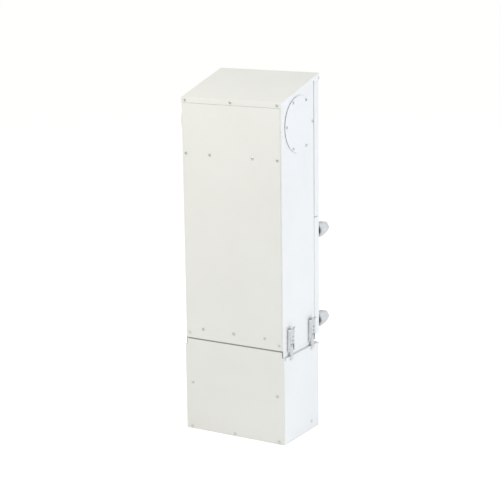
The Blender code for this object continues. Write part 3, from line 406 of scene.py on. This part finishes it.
def softened(node, fold=FOLD_RADIUS, edge=CUT_EDGE, keep_editing=False, material=None):
    """A sheet-metal piece with rounded folds and broken cut edges."""
    source = frame["nodes"][node]
    piece = source.copy()
    piece.data = source.data.copy()
    piece.parent = None
    for key in list(piece.keys()):
        del piece[key]
    piece.name = node + "_sheet"
    piece.data.name = piece.name
    bpy.context.scene.collection.objects.link(piece)
    edit(piece)
    bpy.ops.mesh.select_all(action="SELECT")
    bpy.ops.mesh.remove_doubles(threshold=WELD)
    bpy.ops.mesh.dissolve_limited(angle_limit=FLAT)

    def folded_edge(e):
        if len(e.link_faces) != 2 or not e.is_convex:
            return False
        wide = all(width_of(f) > WIDE for f in e.link_faces)
        return wide and e.calc_face_angle() > SHARP

    def cut_edge(e):
        return len(e.link_faces) == 2 and e.calc_face_angle() > SHARP

    if fold and choose(piece, "EDGE", folded_edge):
        bpy.ops.mesh.bevel(offset=fold, segments=3, clamp_overlap=False)
    if edge and choose(piece, "EDGE", cut_edge):
        bpy.ops.mesh.bevel(offset=edge, segments=1, clamp_overlap=True)
    if keep_editing:
        return piece
    finish(piece, NODE_SLOTS[node], body_of(node), node, material=material)
    return modified(piece, "WEIGHTED_NORMAL", keep_sharp=True)


SHEETS = (
    "left_side_panel",
    "right_side_panel",
    "front_panel",
    "top_rail",
    "roof_lid",
    "rear_panel",
    "partition_plate",
    "hopper_frame",
    "motor_bridge",
    "access_door",
    "bin_tub",
    "bin_floor",
    "bin_front_plate",
    "bin_rim_left",
    "bin_rim_right",
    "left_nut_strip",
    "right_nut_strip",
)
for sheet_node in SHEETS:
    softened(sheet_node)


# ------------------------------------------------- screws

HEAD_RADIUS = 0.0042
HEAD_HEIGHT = 0.0022
HEAD_ROUND = 0.0013
SHANK_RADIUS = 0.0018
SHANK_LENGTH = 0.006
RECESS_WIDTH = 0.0008
RECESS_REACH = 0.0015


def screw_template():
    """A pan-head screw with a cross recess, head up along Z."""
    piece = start(
        "screw",
        "cylinder",
        vertices=24,
        radius=HEAD_RADIUS,
        depth=HEAD_HEIGHT,
        location=(0, 0, HEAD_HEIGHT / 2),
    )
    top_rim = HEAD_HEIGHT - 0.0001
    choose(piece, "EDGE", lambda e: all(v.co.z > top_rim for v in e.verts))
    bpy.ops.mesh.bevel(offset=HEAD_ROUND, segments=4, clamp_overlap=True)
    choose(piece, "FACE", lambda f: f.normal.z < -0.9)
    bpy.ops.mesh.inset(thickness=HEAD_RADIUS - SHANK_RADIUS)
    bpy.ops.mesh.extrude_region_move(TRANSFORM_OT_translate={"value": (0, 0, -SHANK_LENGTH)})
    bpy.ops.object.mode_set(mode="OBJECT")
    cross = start("cross", "cube", size=RECESS_WIDTH, location=(0, 0, HEAD_HEIGHT))
    for way in ((1, 0, 0), (-1, 0, 0), (0, 1, 0), (0, -1, 0)):
        choose(cross, "FACE", lambda f, w=way: f.normal.dot(Vector(w)) > 0.9)
        bpy.ops.mesh.extrude_region_move(
            TRANSFORM_OT_translate={"value": tuple(RECESS_REACH * c for c in way)}
        )
    modified(piece, "BOOLEAN", operation="DIFFERENCE", solver="EXACT", object=cross)
    bpy.data.objects.remove(cross)
    return piece


SCREW = screw_template()


def outward(position, direction):
    """Stands a fitting on a surface, its Z along the surface's normal."""
    turn = Vector(direction).to_track_quat("Z", "Y").to_matrix().to_4x4()
    return Matrix.Translation(Vector(position)) @ turn


def screw(name, position, direction, body, *replaced):
    place = outward(position, direction)
    finish(copied(SCREW, name, place), "bright_steel", body, *replaced)


FRONT_WAY, REAR_WAY, LEFT_WAY, RIGHT_WAY = (0, -1, 0), (0, 1, 0), (-1, 0, 0), (1, 0, 0)
SCREW_X = SIDE_X - 0.013
REAR_SCREW_X = SIDE_X - 0.015
INNER_SCREW_X = 0.071
FRAME_SCREW_X = 0.105
LID_REAR_X = 0.12
BIN_MIDDLE_X = SIDE_X - 0.020
LID_ROW = low("roof_lid").z + LID_LIP / 2
PARTITION_ROW = high("partition_plate").z - 0.012
HOPPER_ROW = high("hopper_frame").z - 0.012
CORNER_ROW = low("front_panel").z + 0.016
LID_REAR_ROW = roof_z(REAR) - 0.0155
DOOR_TOP, LID_TOP = high("access_door").z, roof_z(REAR)
REAR_ROWS = (DOOR_TOP + 0.045, (DOOR_TOP + LID_TOP) / 2, LID_TOP - 0.060)
BIN_FOOT_ROW = 0.009
BIN_MIDDLE_ROW = 0.146
BIN_SIDE_SPOT = (0.052, 0.027)


def row(xs, y, z, way=FRONT_WAY):
    return [((x, y, z), way) for x in xs]


groups = {
    "lid_screw": ("cabinet", row((-SCREW_X, 0, SCREW_X), FRONT, LID_ROW)),
    "front_screw": (
        "cabinet",
        row((-SCREW_X, -INNER_SCREW_X, INNER_SCREW_X, SCREW_X), FRONT, PARTITION_ROW)
        + row((-FRAME_SCREW_X, 0, FRAME_SCREW_X), FRONT, HOPPER_ROW)
        + row((-SCREW_X, SCREW_X), FRONT, CORNER_ROW),
    ),
    "lid_rear_screw": (
        "cabinet",
        row((-LID_REAR_X, LID_REAR_X), LID_BACK, LID_REAR_ROW, REAR_WAY),
    ),
    "rear_screw": (
        "cabinet",
        [((x, REAR, z), REAR_WAY) for x in (-REAR_SCREW_X, REAR_SCREW_X) for z in REAR_ROWS],
    ),
    "bin_front_screw": (
        "bin",
        row((-REAR_SCREW_X, 0, REAR_SCREW_X), FRONT, BIN_FOOT_ROW)
        + row((-BIN_MIDDLE_X, BIN_MIDDLE_X), FRONT, BIN_MIDDLE_ROW),
    ),
    "bin_side_screw": (
        "bin",
        [((side * BIN_X, *BIN_SIDE_SPOT), (side, 0, 0)) for side in SIDES.values()],
    ),
}
for word, (ride_on, places) in groups.items():
    for number, (spot, way) in enumerate(places, 1):
        screw(f"{word}_{number}", spot, way, ride_on)


PORT_SCREWS = 6
SPIGOT_CIRCLES = {"outlet": 0.075, "inlet": 0.0575}

for number in range(1, PORT_SCREWS + 1):
    port_node = f"port_screw_{number}"
    middle = (low(port_node) + high(port_node)) / 2
    spot = (high("port_cover").x, middle.y, middle.z)
    screw(port_node + "_head", spot, RIGHT_WAY, body_of(port_node), port_node)
for word, circle in SPIGOT_CIRCLES.items():
    centre = (low(word + "_spigot") + high(word + "_spigot")) / 2
    for number in range(PORT_SCREWS):
        turn = math.tau * number / PORT_SCREWS
        y, z = centre.y + circle * math.cos(turn), centre.z + circle * math.sin(turn)
        spot = (-SIDE_X - SHEET - GAP, y, z)
        screw(f"{word}_screw_{number + 1}", spot, LEFT_WAY, "cabinet")

bpy.data.objects.remove(SCREW)


# ------------------------------------------------- turned pieces


def lathe(name, rings, sides=96, capped=True):
    """Raises a ring of edges through (radius, height) steps."""
    radius, height = rings[0]
    fill = "NGON" if capped else "NOTHING"
    piece = start(
        name, "circle", vertices=sides, radius=radius, fill_type=fill, location=(0, 0, height)
    )
    bpy.ops.mesh.select_mode(type="FACE" if capped else "EDGE")
    bpy.ops.mesh.select_all(action="SELECT")
    for next_radius, next_height in rings[1:]:
        rise = {"value": (0, 0, next_height - height)}
        if capped:
            bpy.ops.mesh.extrude_region_move(TRANSFORM_OT_translate=rise)
        else:
            bpy.ops.mesh.extrude_edges_move(TRANSFORM_OT_translate=rise)
        scale = next_radius / radius
        bpy.ops.transform.resize(value=(scale, scale, 1), center_override=(0, 0, 0))
        radius, height = next_radius, next_height
    if capped:
        choose(piece, "EDGE", lambda e: e.is_boundary)
        bpy.ops.mesh.edge_face_add()
    bpy.ops.mesh.select_all(action="SELECT")
    bpy.ops.mesh.normals_make_consistent(inside=False)
    return piece


def moved(piece, place):
    bpy.ops.object.mode_set(mode="OBJECT")
    piece.data.transform(place)
    return piece


def merged(name, pieces):
    """Joins pieces of one moulding or casting."""
    take(pieces[0])
    for piece in pieces[1:]:
        piece.select_set(True)
    bpy.ops.object.join()
    pieces[0].name = name
    pieces[0].data.name = name
    return pieces[0]


def turn_of(vert):
    return math.atan2(vert.co.y, vert.co.x)


def flute(piece, count, sides, depths, test=lambda v: True):
    """Pushes in every column of vertices by its step within a flute."""
    columns = sides // count
    for step, share in enumerate(depths, 1):

        def in_column(vert, step=step):
            column = round(turn_of(vert) / math.tau * sides) % columns
            return column in (step, columns - step) and test(vert)

        choose(piece, "VERT", in_column)
        bpy.ops.transform.resize(value=(share, share, 1), center_override=(0, 0, 0))


THREAD_PITCH = 0.00125


def rod(name, node, body, material):
    """A round bar with broken ends, in place of a faceted one."""
    a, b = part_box(node)
    size = b - a
    axis = max(range(3), key=lambda i: size[i])
    way = Vector([float(i == axis) for i in range(3)])
    radius = min(size) / 2
    length = size[axis]
    edge = radius * 0.2
    rings = [(radius - edge, 0), (radius, edge), (radius, length - edge), (radius - edge, length)]
    piece = lathe(name, rings, 24)
    bpy.ops.object.mode_set(mode="OBJECT")
    strip = piece.data.uv_layers.new(name="along")
    for loop, uv in zip(piece.data.loops, strip.data):
        vert = piece.data.vertices[loop.vertex_index]
        uv.uv = (turn_of(vert) / math.tau, vert.co.z / THREAD_PITCH)
    foot = (a + b) / 2 - way * length / 2
    moved(piece, outward(foot, way))
    return finish(piece, "bright_steel", body, node, material=material)


# ------------------------------------------------- ports

SEAL_IN = 0.0025  # from the plate's rim in to the seal
SEAL_BORE_IN = 0.017
PLATE_EDGE = 0.0004
SPIGOT_FLANGES = {"outlet": 0.021, "inlet": 0.0155}


def make_ports():
    seal_low, seal_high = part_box("port_gasket")
    seal_rings = [(PORT_RADIUS - SEAL_IN, 0), (PORT_RADIUS - SEAL_BORE_IN, 0)]
    seal = lathe("port_seal", seal_rings, capped=False)
    modified(seal, "SOLIDIFY", thickness=seal_high.x - seal_low.x, offset=0)
    moved(seal, outward((seal_low + seal_high) / 2, RIGHT_WAY))
    finish(seal, "dark_foam", "cabinet", "port_gasket")

    thick = high("port_cover").x - low("port_cover").x
    rings = [
        (PORT_RADIUS - PLATE_EDGE / 2, 0),
        (PORT_RADIUS, PLATE_EDGE / 2),
        (PORT_RADIUS, thick - PLATE_EDGE),
        (PORT_RADIUS - PLATE_EDGE, thick),
    ]
    cover = lathe("port_plate", rings)
    moved(cover, outward((low("port_cover").x, PORT.y, PORT.z), RIGHT_WAY))
    finish(cover, "powder_coat", "cabinet", "port_cover")

    for word, flange_width in SPIGOT_FLANGES.items():
        node = word + "_spigot"
        a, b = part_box(node)
        middle = (a + b) / 2
        flange = (b.z - a.z) / 2
        length = b.x - a.x
        tube = flange - flange_width + SHEET
        rings = [
            (flange, SHEET),
            (tube + 0.0025, SHEET),
            (tube + 0.0007, SHEET + 0.0007),
            (tube, SHEET + 0.0025),
            (tube, length - 0.009),
            (tube + 0.001, length - 0.008),
            (tube + 0.0015, length - 0.0065),
            (tube + 0.001, length - 0.005),
            (tube, length - 0.004),
            (tube, length),
        ]
        piece = lathe(word + "_collar", rings, capped=False)
        modified(piece, "SOLIDIFY", thickness=SHEET, offset=-1, use_even_offset=True)
        moved(piece, outward((b.x, middle.y, middle.z), LEFT_WAY))
        finish(piece, "powder_coat", "cabinet", node)


# ------------------------------------------------- knobs

KNOB_SIDES = 48
KNOB_FLUTES = 6
KNOB_NECK = 0.0042
KNOB_WIDE = 0.0238
FLUTE_DEPTHS = (0.985, 0.945, 0.905, 0.89)
COLLAR_RADIUS = 0.0172
COLLAR_EDGE = 0.0007
# the grip's profile: share of its widest radius, distance from the neck
GRIP_PROFILE = (
    (0.72, 0),
    (0.93, 0.0006),
    (0.985, 0.003),
    (1, 0.009),
    (0.985, 0.018),
    (0.94, 0.028),
    (0.87, 0.038),
    (0.79, 0.048),
)
# its dished end: share of the widest radius, distance from the tip
GRIP_END = ((0.73, 0.004), (0.68, 0.0015), (0.60, 0), (0.48, 0), (0.45, 0.002), (0.10, 0.0025))


def make_knobs():
    """Long tapered star knobs, each on a collar made near-black, partly as painted shade at the
    knob's base.
    """
    a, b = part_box("star_knob_right_lower")
    length = b.y - a.y
    rings = [(KNOB_WIDE * share, KNOB_NECK + rise) for share, rise in GRIP_PROFILE]
    rings += [(KNOB_WIDE * share, length - drop) for share, drop in GRIP_END]
    knob = lathe("knob", rings, KNOB_SIDES)
    half_wide = KNOB_WIDE * 0.55
    flute(knob, KNOB_FLUTES, KNOB_SIDES, FLUTE_DEPTHS, lambda v: v.co.xy.length > half_wide)
    bpy.ops.object.mode_set(mode="OBJECT")
    collar_rings = [
        (COLLAR_RADIUS - COLLAR_EDGE, 0),
        (COLLAR_RADIUS, COLLAR_EDGE),
        (COLLAR_RADIUS, KNOB_NECK - 0.0008),
        (COLLAR_RADIUS - COLLAR_EDGE, KNOB_NECK - 0.0002),
    ]
    collar = lathe("collar", collar_rings, KNOB_SIDES)
    bpy.ops.object.mode_set(mode="OBJECT")
    for word in SIDES:
        for level in ("lower", "upper"):
            node = f"star_knob_{word}_{level}"
            a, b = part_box(node)
            middle = (a + b) / 2
            place = outward((middle.x, a.y, middle.z), REAR_WAY)
            body = body_of(node)
            name = f"knob_{word}_{level}"
            finish(copied(knob, name + "_grip", place), "grey_plastic", body, node, angle=50)
            piece = copied(collar, name + "_collar", place)
            # the collar's near-black is partly painted shade at the knob's base
            finish(piece, "grey_plastic", body, material=DARK_COLLAR_AND_SHADE)
            rod(name + "_thread", f"knob_stud_{word}_{level}", body, THREAD)
    bpy.data.objects.remove(knob)
    bpy.data.objects.remove(collar)


# ------------------------------------------------- latches

SLOT_HEIGHTS = (0.3207, 0.3087)
SLOT_HALF_WIDTH = 0.0024
SLOT_HALF_HEIGHT = 0.0038
SLOT_SHIFT = 0.0015
LEVER_OUT = 0.0115  # from the side panel
LIP_CORNER = 0.006
LIP_REACH = 0.0015  # how near the top edge a lip corner lies
LIP_SIDE = 0.0008
LIP_WALL = 0.0005
SLOT_DEPTH = 0.006
LATCH_FOLD = 0.0014
BASE_FOLD = 0.0012
LATCH_EDGE = 0.0002
CLAW_EDGE = 0.00025
RIVET_PROFILE = ((0.0030, 0), (0.0030, 0.0004), (0.0023, 0.0012), (0.0010, 0.0016))
RIVET_STEPS = {"a": -0.0055, "b": 0.0055}
RIVET_DROP = 0.006


def make_latches():
    """Pressed draw latches with two slots in each lever."""
    rivet = lathe("rivet", RIVET_PROFILE, 20)
    bpy.ops.object.mode_set(mode="OBJECT")
    for word, side in SIDES.items():
        for end in ENDS:
            name = f"{word}_{end}"
            softened("latch_base_" + name, BASE_FOLD, LATCH_EDGE, material=LATCH_ZINC)
            softened("latch_claw_" + name, 0, CLAW_EDGE, material=LATCH_ZINC)
            make_lever(name, side)
            a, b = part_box("latch_base_" + name)
            middle = (a.y + b.y) / 2
            for letter, step in RIVET_STEPS.items():
                spot = (side * (SIDE_X + SHEET + GAP), middle + step, b.z - RIVET_DROP)
                piece = copied(rivet, f"rivet_{name}_{letter}", outward(spot, (side, 0, 0)))
                finish(piece, "bright_steel", "cabinet")
    bpy.data.objects.remove(rivet)


def make_lever(name, side):
    """The lever, with its lip's corners rounded and its slots cut."""
    node = "latch_lever_" + name
    lever = softened(node, LATCH_FOLD, LATCH_EDGE, keep_editing=True)
    a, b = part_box(node)
    middle = (a.y + b.y) / 2
    half = (b.y - a.y) / 2

    def lip_corner(e):
        ends = [v.co for v in e.verts]
        high_up = all(v.z > b.z - LIP_REACH for v in ends)
        outer = all(abs(v.y - middle) > half - LIP_SIDE for v in ends)
        return high_up and outer and abs(ends[0].x - ends[1].x) > LIP_WALL

    if choose(lever, "EDGE", lip_corner):
        bpy.ops.mesh.bevel(offset=LIP_CORNER, segments=5, clamp_overlap=True)
    for z in SLOT_HEIGHTS:
        cutter = start(
            "slot",
            "cylinder",
            vertices=20,
            radius=SLOT_HALF_WIDTH,
            depth=SLOT_DEPTH,
            rotation=(0, math.pi / 2, 0),
            location=(side * (SIDE_X + LEVER_OUT), middle + SLOT_SHIFT, z),
        )
        reach = SLOT_HALF_HEIGHT - SLOT_HALF_WIDTH
        for way in (-1, 1):
            choose(cutter, "VERT", lambda v, w=way: (v.co.z - z) * w > WELD)
            bpy.ops.transform.translate(value=(0, 0, way * reach))
        modified(lever, "BOOLEAN", object=cutter, operation="DIFFERENCE", solver="EXACT")
        bpy.data.objects.remove(cutter)
    finish(lever, NODE_SLOTS[node], body_of(node), node, material=LATCH_ZINC)


# ------------------------------------------------- cable gland


HEX_RADIUS = 0.0144
HEX_HEIGHT = 0.006
HEX_ROUND = 0.0007
GLAND_SIDES = 64
GRIPS = 16
GRIP_DEPTHS = (0.99, 0.965)
GRIP_RADIUS = 0.0125
CAP_PROFILE = (
    (0.0126, 0.006),
    (0.0129, 0.0066),
    (0.0129, 0.0155),
    (0.0122, 0.0185),
    (0.0106, 0.0222),
    (0.0088, 0.0238),
    (0.0068, 0.0238),
    (0.0062, 0.0225),
    (0.0046, 0.019),
)
SEAL_PROFILE = ((0.0061, 0.0195), (0.0061, 0.0222), (0.0030, 0.0222), (0.0022, 0.0205))


def make_gland():
    """Hexagon, ribbed cap and the rubber ring inside its mouth."""
    middle = (low("cable_gland") + high("cable_gland")) / 2
    place = outward((middle.x, REAR + GAP, middle.z), REAR_WAY)
    hexagon = start("gland_nut", "cylinder", vertices=6, radius=HEX_RADIUS, depth=HEX_HEIGHT)
    choose(hexagon, "EDGE", lambda e: abs(e.verts[0].co.z - e.verts[1].co.z) < WELD)
    bpy.ops.mesh.bevel(offset=HEX_ROUND, segments=2)
    moved(hexagon, Matrix.Translation((0, 0, HEX_HEIGHT / 2)))
    dome = lathe("gland_dome", CAP_PROFILE, GLAND_SIDES)

    def gripped(v):
        return v.co.xy.length > GRIP_RADIUS and v.co.z > HEX_HEIGHT + GAP

    flute(dome, GRIPS, GLAND_SIDES, GRIP_DEPTHS, gripped)
    bpy.ops.object.mode_set(mode="OBJECT")
    piece = merged("gland_body", [hexagon, dome])
    moved(piece, place)
    finish(piece, "grey_plastic", "cabinet", "cable_gland")
    seal = lathe("gland_seal", SEAL_PROFILE, GLAND_SIDES // 2)
    moved(seal, place)
    finish(seal, "cap_rubber", "cabinet")


# ------------------------------------------------- filter and fan

PLEATS = 60
PLEAT_DEPTH = 0.77  # valley radius as a share of the crest's
PAPER = 0.0006
MEDIA_GAP = 0.0004
CAP_ROUND = 0.0015
CAP_RIM = 0.006
ROD_BOSS = 0.012
WING_FOLD = 0.0012
WING_EDGE = 0.0003
FIN_DEPTHS = (0.975, 0.94)
FINS = 24
MOTOR_SIDES = 96
MOTOR_EDGE = 0.0005
ROTOR_BLADES = 9
BLADE_ROOT = 0.026
BLADE_STEPS = 8
BLADE_STRIDE = 0.0064
BLADE_LEAN = 58  # degrees at the root
BLADE_CURL = 5  # degrees straighter at each step
BLADE_TOP = 0.0022  # from the blades to the plate's upper face
BLADE_FOOT = 0.001  # width of the strip that a blade is drawn from


def make_filter():
    """Pleated media between two moulded caps, on a threaded rod."""
    a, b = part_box("filter_media")
    middle = (a + b) / 2
    radius = (b.x - a.x) / 2
    sides = 2 * PLEATS
    rings = [(radius - MEDIA_GAP, a.z + MEDIA_GAP), (radius - MEDIA_GAP, b.z - MEDIA_GAP)]
    paper_wall = lathe("pleats", rings, sides, capped=False)

    def valley(v):
        return round(turn_of(v) / math.tau * sides) % 2 == 1

    choose(paper_wall, "VERT", valley)
    bpy.ops.transform.resize(value=(PLEAT_DEPTH, PLEAT_DEPTH, 1), center_override=(0, 0, 0))
    modified(paper_wall, "SOLIDIFY", thickness=PAPER, offset=0)
    moved(paper_wall, Matrix.Translation((middle.x, middle.y, 0)))
    finish(paper_wall, "filter_paper", "cabinet", "filter_media", angle=20)
    for word in ("top", "bottom"):
        node = f"filter_{word}_cap"
        a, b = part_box(node)
        radius, height = (b.x - a.x) / 2, b.z - a.z
        rings = [
            (radius - CAP_ROUND, 0),
            (radius, CAP_ROUND),
            (radius, height - CAP_ROUND),
            (radius - CAP_ROUND, height),
            (radius - CAP_RIM, height),
            (radius - CAP_RIM - CAP_ROUND, height - CAP_ROUND),
            (ROD_BOSS, height - CAP_ROUND),
        ]
        cap = lathe(f"{word}_cap_moulding", rings)
        if word == "bottom":
            flip = Matrix.Rotation(math.pi, 4, "X")
            moved(cap, Matrix.Translation((0, (a.y + b.y) / 2, b.z)) @ flip)
        else:
            moved(cap, Matrix.Translation((0, (a.y + b.y) / 2, a.z)))
        finish(cap, "cap_rubber", "cabinet", node)
    rod("tie_rod_thread", "filter_tie_rod", "cabinet", THREAD)
    softened("filter_wing_nut", WING_FOLD, WING_EDGE)


def motor_profile(radius, height):
    """Radii and heights of the can: bands at both ends, fins between."""
    foot = (
        (radius - 0.006, 0),
        (radius - 0.001, 0.003),
        (radius - 0.001, 0.010),
        (radius - 0.003, 0.011),
        (radius - 0.003, 0.012),
        (radius, 0.0125),
    )
    crown = (
        (radius, height - 0.0125),
        (radius - 0.003, height - 0.012),
        (radius - 0.003, height - 0.011),
        (radius - 0.001, height - 0.010),
        (radius - 0.001, height - 0.004),
        (radius - 0.006, height - MOTOR_EDGE),
    )
    top = height - MOTOR_EDGE
    return [(0.010, 0), *foot, *crown, (0.018, height), (0.016, top), (0.009, top)]


def rotor_profile(radius, height):
    """Radii and heights of the hub, the plate and its dished centre."""
    return [
        (0.0142, height - 0.016),
        (0.0148, height - 0.015),
        (0.0148, height - 0.004),
        (0.017, height - 0.002),
        (radius - 0.0004, height - 0.002),
        (radius, height - 0.0012),
        (radius - 0.0004, height),
        (0.020, height),
        (0.019, height - 0.0006),
        (0.0075, height - 0.0006),
    ]


def make_fan():
    """Finned motor, its shaft and the bladed wheel under it."""
    a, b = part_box("fan_motor")
    middle = (a + b) / 2
    radius, height = (b.x - a.x) / 2, b.z - a.z
    can = lathe("motor_can", motor_profile(radius, height), MOTOR_SIDES)

    def finned(v):
        return v.co.xy.length > radius - 0.0004

    flute(can, FINS, MOTOR_SIDES, FIN_DEPTHS, finned)
    moved(can, Matrix.Translation((middle.x, middle.y, a.z)))
    finish(can, "motor_paint", "cabinet", "fan_motor", angle=30)
    rod("shaft", "motor_shaft", "fan_rotor", FINISHES["bright_steel"])

    a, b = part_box("impeller")
    middle = (a + b) / 2
    radius, height = (b.x - a.x) / 2, b.z - a.z
    parts = [lathe("rotor", rotor_profile(radius, height))]
    bpy.ops.object.mode_set(mode="OBJECT")
    for number in range(ROTOR_BLADES):
        turn = Matrix.Rotation(math.tau * number / ROTOR_BLADES, 4, "Z")
        parts.append(moved(vane(height - BLADE_TOP), turn))
    piece = merged("impeller_wheel", parts)
    moved(piece, Matrix.Translation((middle.x, middle.y, a.z)))
    finish(piece, "bright_steel", "fan_rotor", "impeller")


def vane(height):
    """One curved blade, drawn out from its root edge."""
    root = (BLADE_ROOT, 0, height / 2)
    piece = start("vane", "plane", size=BLADE_FOOT, location=root)
    bpy.ops.transform.rotate(value=math.pi / 2, orient_axis="Y", center_override=root)
    bpy.ops.transform.resize(value=(1, 1, height / BLADE_FOOT), center_override=root)
    choose(piece, "FACE", lambda f: True)
    for step in range(BLADE_STEPS):
        lean = math.radians(BLADE_LEAN - BLADE_CURL * step)
        value = (BLADE_STRIDE * math.cos(lean), BLADE_STRIDE * math.sin(lean), 0)
        bpy.ops.mesh.extrude_region_move(TRANSFORM_OT_translate={"value": value})
    bpy.ops.mesh.select_all(action="SELECT")
    bpy.ops.mesh.normals_make_consistent(inside=False)
    bpy.ops.object.mode_set(mode="OBJECT")
    return piece


make_ports()
make_knobs()
make_latches()
make_gland()
make_filter()
make_fan()
FOAM_EDGE = 0.0005
for seal_node in ("bin_gasket", "door_gasket"):
    softened(seal_node, 0, FOAM_EDGE)
# the seam strip's dark grey is partly painted shade in the joint gap
softened("seam_seal", 0, FOAM_EDGE, material=SEAM_FOAM_AND_GAP_SHADE)


# ------------------------------------------------- camera, light, floor

VIEW_FROM = Vector((2.2223, -3.7037, 1.5253))
AMBIENT = (1.0, 1.003, 0.965)
AMBIENT_STRENGTH = 0.61
SIDE_POWER = 61.5
FRONT_POWER = 23
TOP_POWER = 4.2
FLOOR_LIFT = 0.45
FLOOR_SIZE = 40
SOFTBOXES = {  # place, aim, size, power, colour
    "side_softbox": ((3.4, 0.4, 1.2), (0, 0, 0.55), 2.6, SIDE_POWER, (0.773, 0.838, 1.0)),
    "front_softbox": ((-0.6, -1.95, 2.3), (0, -0.1, 0.8), 1.0, FRONT_POWER, (1.0, 0.99, 0.90)),
    "top_softbox": ((0, -0.3, 3.2), (0, 0, 1.0), 1.5, TOP_POWER, (1.0, 1.0, 0.95)),
}
LENS = 108.58
SENSOR = 36
YAW, PITCH, ROLL = (math.radians(a) for a in (31.04, 12.85, -0.757))


def add_camera():
    lens = bpy.data.cameras.new("camera")
    lens.lens = LENS
    lens.sensor_width = SENSOR
    lens.sensor_fit = "HORIZONTAL"
    camera = bpy.data.objects.new("camera", lens)
    bpy.context.scene.collection.objects.link(camera)
    ahead = Vector(
        (-math.sin(YAW) * math.cos(PITCH), math.cos(YAW) * math.cos(PITCH), -math.sin(PITCH))
    )
    right = Vector((math.cos(YAW), math.sin(YAW), 0))
    up = right.cross(ahead)
    across = math.cos(ROLL) * right + math.sin(ROLL) * up
    rise = -math.sin(ROLL) * right + math.cos(ROLL) * up
    turn = Matrix((across, rise, -ahead)).transposed().to_4x4()
    camera.matrix_world = Matrix.Translation(VIEW_FROM) @ turn
    bpy.context.scene.camera = camera


def add_area(name, place, aim, size, power, colour):
    light = bpy.data.lights.new(name, "AREA")
    light.shape = "SQUARE"
    light.size = size
    light.energy = power
    light.color = colour
    lamp = bpy.data.objects.new(name, light)
    bpy.context.scene.collection.objects.link(lamp)
    lamp.location = place
    lamp.rotation_euler = (Vector(aim) - Vector(place)).to_track_quat("-Z", "Y").to_euler()


def lit(tree, shader_kind, seen, light):
    """A shader whose strength differs for what is seen and what it lights."""
    path = tree.nodes.new("ShaderNodeLightPath")
    mix = tree.nodes.new("ShaderNodeMixShader")
    for slot_number, (colour, strength) in enumerate((light, seen), 1):
        glow = tree.nodes.new("ShaderNode" + shader_kind)
        glow.inputs["Color"].default_value = (*colour, 1)
        glow.inputs["Strength"].default_value = strength
        tree.links.new(glow.outputs[0], mix.inputs[slot_number])
    tree.links.new(path.outputs["Is Camera Ray"], mix.inputs["Fac"])
    return mix.outputs["Shader"]


def add_surroundings():
    world = bpy.data.worlds.new("studio")
    world.use_nodes = True
    tree = world.node_tree
    shader = lit(tree, "Background", ((1, 1, 1), 1.0), (AMBIENT, AMBIENT_STRENGTH))
    tree.links.new(shader, tree.nodes["World Output"].inputs["Surface"])
    bpy.context.scene.world = world
    for name, softbox in SOFTBOXES.items():
        add_area(name, *softbox)

    floor = start("floor", "plane", size=FLOOR_SIZE, location=(0, 0, 0))
    bpy.ops.object.mode_set(mode="OBJECT")
    material = new_material("pale_floor", (0.9, 0.9, 0.9), 0.9)
    tree = material.node_tree
    glow = lit(tree, "Emission", ((1, 1, 1), FLOOR_LIFT), ((1, 1, 1), 0.0))
    both = tree.nodes.new("ShaderNodeAddShader")
    tree.links.new(tree.nodes["Principled BSDF"].outputs[0], both.inputs[0])
    tree.links.new(glow, both.inputs[1])
    tree.links.new(both.outputs[0], tree.nodes["Material Output"].inputs["Surface"])
    place = coordinates(material)
    tint(material, noise(material, place, 3, 2), (0.89, 0.89, 0.89), (0.91, 0.91, 0.91))
    floor.data.materials.append(material)
    bpy.context.scene.view_settings.view_transform = "Standard"


add_camera()
add_surroundings()
